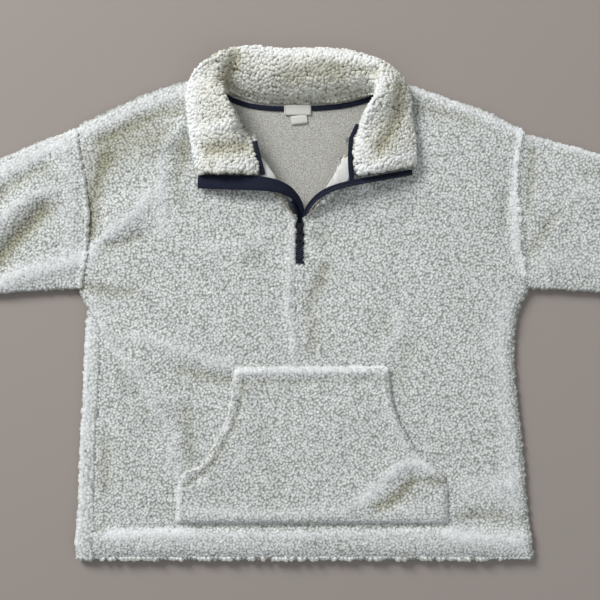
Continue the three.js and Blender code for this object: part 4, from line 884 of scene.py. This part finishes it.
guard = thin_piece("zip_guard", "zip_guard_weave", NAVY_WEAVE)
fitted(guard, "zip_guard")
hems = [evenly_along(beside(ZIP_GUARD, side, 1.7), STITCH_STEP, lift=0.0006) for side in (-1, 1)]
joined_row("zip_guard_stitches", STITCH, sum(hems, []), NAVY_THREAD)

# ---- Zip -------------------------------------------------------------------------------------------------------
# A moulded-tooth zip with navy tapes. It is closed below the slider; above it the two tapes part, the left one short
# and covered by the guard, the right one out along the collar's edge. A bar-tack ends it.

TOOTH = small_block("zip_tooth", 0.0014, 0.0032, 0.0019, 0.0003)
CLOSED_TOOTH = small_block("closed_zip_tooth", 0.0014, 0.0050, 0.0019, 0.0003)
TOOTH_STEP = 0.0025
MESHED_TEETH, MESHED_FROM, MESHED_SIDE, MESHED_TOP = 25, 0.0515, 0.0021, 0.0105
TACK_TURNS, TACK_FROM, TACK_STEP, TACK_TOP = 5, 0.0465, 0.00062, 0.0122
FLY_THICK = 0.0006
ZIP_TAPE_LEFT = ((-3.1, 94.2, 8), (-3.6, 100, 8.2), (-4, 107, 10), (-6.4, 115, 13.4), (-10.5, 124, 17.6))
ZIP_TAPE_RIGHT = (
    (3.1, 94.2, 8), (3.8, 100, 8.4), (5.2, 107, 10.6), (9.5, 116, 14.6), (17, 125, 20), (28, 134, 25.6),
    (44, 140.5, 28.4), (68, 146.5, 27.6), (92, 151, 24.5), (118, 156, 21.5), (141, 160.5, 17.5),
)


def rubbed_paint(name, paint, rubbed, **numbers):
    """Dark paint over metal or resin, rubbed a little lighter in places."""
    material, tree, look, place = new_finish(name, **numbers)
    scuff = speckle(tree, place, 900.0, 3.0, 0.6)
    tree.links.new(blend(tree, spread(tree, scuff, 0.52, 0.70), paint, rubbed), look.inputs["Base Color"])
    raised(tree, look, scuff, 0.25, 0.0001)
    return material


NAVY_TEETH = rubbed_paint("navy_zip_teeth", (0.018, 0.024, 0.048, 1), (0.090, 0.105, 0.160, 1), Roughness=0.32)
DARK_PAINT = rubbed_paint(
    "dark_navy_paint", (0.010, 0.012, 0.018, 1), (0.060, 0.066, 0.080, 1), Roughness=0.34, Metallic=0.35
)

for node in ("zip_tape_left", "zip_tape_right", "zip_chain"):
    fitted(thin_piece(node, node + "_weave", NAVY_WEAVE), node)

fly = bmesh.new()  # the strip behind the zip, across the foot of its opening
rims = [
    [fly.verts.new(Vector(spot) / 1000) for spot in side]
    for side in (
        ((-4.4, 88, 7.6), (-5.0, 98, 8.0), (-6.0, 108, 9.6), (-8.0, 118, 13.0), (-10.5, 127, 17.0)),
        ((4.4, 88, 7.6), (5.0, 98, 8.0), (4.4, 108, 9.6), (0.0, 118, 13.0), (-5.5, 127, 17.0)),
    )
]
for step in range(len(rims[0]) - 1):
    fly.faces.new((rims[0][step], rims[1][step], rims[1][step + 1], rims[0][step + 1]))
bmesh.ops.solidify(fly, geom=fly.faces[:], thickness=FLY_THICK)
fitted(made_piece("zip_fly_weave", fly, NAVY_WEAVE))

open_rows = evenly_along(ZIP_TAPE_RIGHT, TOOTH_STEP, offset=0.0022, lift=0.0010)
open_rows += evenly_along(ZIP_TAPE_LEFT, TOOTH_STEP, offset=-0.0016, lift=0.0010)
joined_row("open_zip_teeth", TOOTH, open_rows, NAVY_TEETH)
meshed = [
    (
        Vector((MESHED_SIDE if count % 2 else -MESHED_SIDE, MESHED_FROM + TOOTH_STEP / 2 * count, MESHED_TOP)),
        Vector((0, 1, 0)),
    )
    for count in range(MESHED_TEETH)
]
joined_row("closed_zip_teeth", CLOSED_TOOTH, meshed, NAVY_TEETH)

TACK_THREAD = small_block("bar_tack_thread", 0.0105, 0.0006, 0.0006, 0.0002)
turns = [(Vector((0, TACK_FROM + TACK_STEP * turn, TACK_TOP)), Vector((1, 0, 0))) for turn in range(TACK_TURNS)]
joined_row("bar_tack", TACK_THREAD, turns, NAVY_THREAD)

CORNER_ROUNDING = 0.00022
for node, body in (("zip_slider", "garment"), ("zip_pull", "pull_tab")):
    mesh = bmesh.new()
    mesh.from_mesh(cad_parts[node].data)
    bmesh.ops.remove_doubles(mesh, verts=mesh.verts, dist=0.00001)
    bmesh.ops.dissolve_limit(mesh, angle_limit=0.02, verts=mesh.verts, edges=mesh.edges)
    mesh.normal_update()
    corners = [edge for edge in mesh.edges if edge.calc_face_angle(0) > 0.7]
    bmesh.ops.bevel(
        mesh, geom=corners, offset=CORNER_ROUNDING, segments=2, profile=0.5, material=-1, affect="EDGES",
        clamp_overlap=True,
    )
    for face in mesh.faces:
        face.smooth = face.calc_area() < 1e-6  # the rounded edges, and not the flats
    fitted(made_piece(node + "_painted", mesh, DARK_PAINT), node, body)

# ---- Labels ----------------------------------------------------------------------------------------------------
# A bare label of woven satin, sewn over the back neck tape at its two ends, and a small tag of the same satin that is
# folded in half and hangs from under it.


def label_satin(name, light, dark):
    """A fine satin ribbon weave in two close shades."""
    material = navy_weave(name, light, dark, 0.0005)
    material.node_tree.nodes["Principled BSDF"].inputs["Roughness"].default_value = 0.55
    return material


LABEL_SATIN = label_satin("label_satin", (0.95, 0.95, 0.92, 1), (0.80, 0.79, 0.73, 1))
LABEL_THREAD = label_satin("label_thread", (0.66, 0.64, 0.56, 1), (0.42, 0.40, 0.34, 1))
TAG_TURN, TAG_TOP = math.radians(7), (-0.0012, 0.231, 0)  # the tag hangs a little askew from its sewn end
for node, flat in (("neck_label", (0.034, 0.0128)), ("size_tag", (0.0205, 0.0110))):
    label = thin_piece(node, node + "_satin", LABEL_SATIN)
    if node == "size_tag":
        mesh = bmesh.new()
        mesh.from_mesh(label.data)
        bmesh.ops.rotate(mesh, verts=mesh.verts, cent=TAG_TOP, matrix=Matrix.Rotation(TAG_TURN, 3, "Z"))
        mesh.to_mesh(label.data)
        mesh.free()
    fitted(label, node)
LABEL_STITCH = small_block("label_stitch", 0.0016, 0.0004, 0.0003, 0.00012)
LABEL_STEP = 0.0021
label_ends = [evenly_along(((x, 236.2, 7.3), (x, 246.8, 7.3)), LABEL_STEP) for x in (-18.6, 12.6)]
joined_row("label_stitches", LABEL_STITCH, sum(label_ends, []), LABEL_THREAD)

# ---- Table, light and camera -----------------------------------------------------------------------------------
# The pullover lies face up on a plain pale table. A window's soft light comes from its upper left, a wall sends a
# little back from the right, and the camera looks straight down.

TABLE_HALF = 3.0
TABLE_DROP = 0.0005  # keeps the table's top clear of the flat underside
VIEW_HEIGHT = 1.108
VIEW_LENS = 52.1

surface = bmesh.new()
bmesh.ops.create_grid(surface, x_segments=1, y_segments=1, size=TABLE_HALF)
PALE_TABLE = new_finish("pale_table", Base_Color=(0.38, 0.335, 0.305, 1), Roughness=0.8)[0]
table_top = made_piece("table_top", surface, PALE_TABLE)
table_top.location = (0, 0, -TABLE_DROP)

for name, spot, size, power in (
    ("window", (-2.6, 2.9, 2.3), 1.6, 185.0),
    ("wall", (1.8, -0.6, 2.0), 2.5, 7.0),
):
    lamp = bpy.data.lights.new(name, "AREA")
    lamp.shape = "SQUARE"
    lamp.size = size
    lamp.energy = power
    holder = bpy.data.objects.new(name, lamp)
    holder.location = spot
    holder.rotation_mode = "QUATERNION"
    holder.rotation_quaternion = (-Vector(spot)).to_track_quat("-Z", "Y")
    bpy.context.collection.objects.link(holder)

sky = bpy.data.worlds.new("soft_room")
sky.use_nodes = True
sky.node_tree.nodes["Background"].inputs["Color"].default_value = (0.93, 0.96, 1.0, 1)
sky.node_tree.nodes["Background"].inputs["Strength"].default_value = 0.32
bpy.context.scene.world = sky
bpy.context.scene.view_settings.view_transform = "Standard"

eye = bpy.data.cameras.new("above")
eye.lens = VIEW_LENS
camera = bpy.data.objects.new("above", eye)
camera.location = (0, 0, VIEW_HEIGHT)
bpy.context.collection.objects.link(camera)
bpy.context.scene.camera = camera
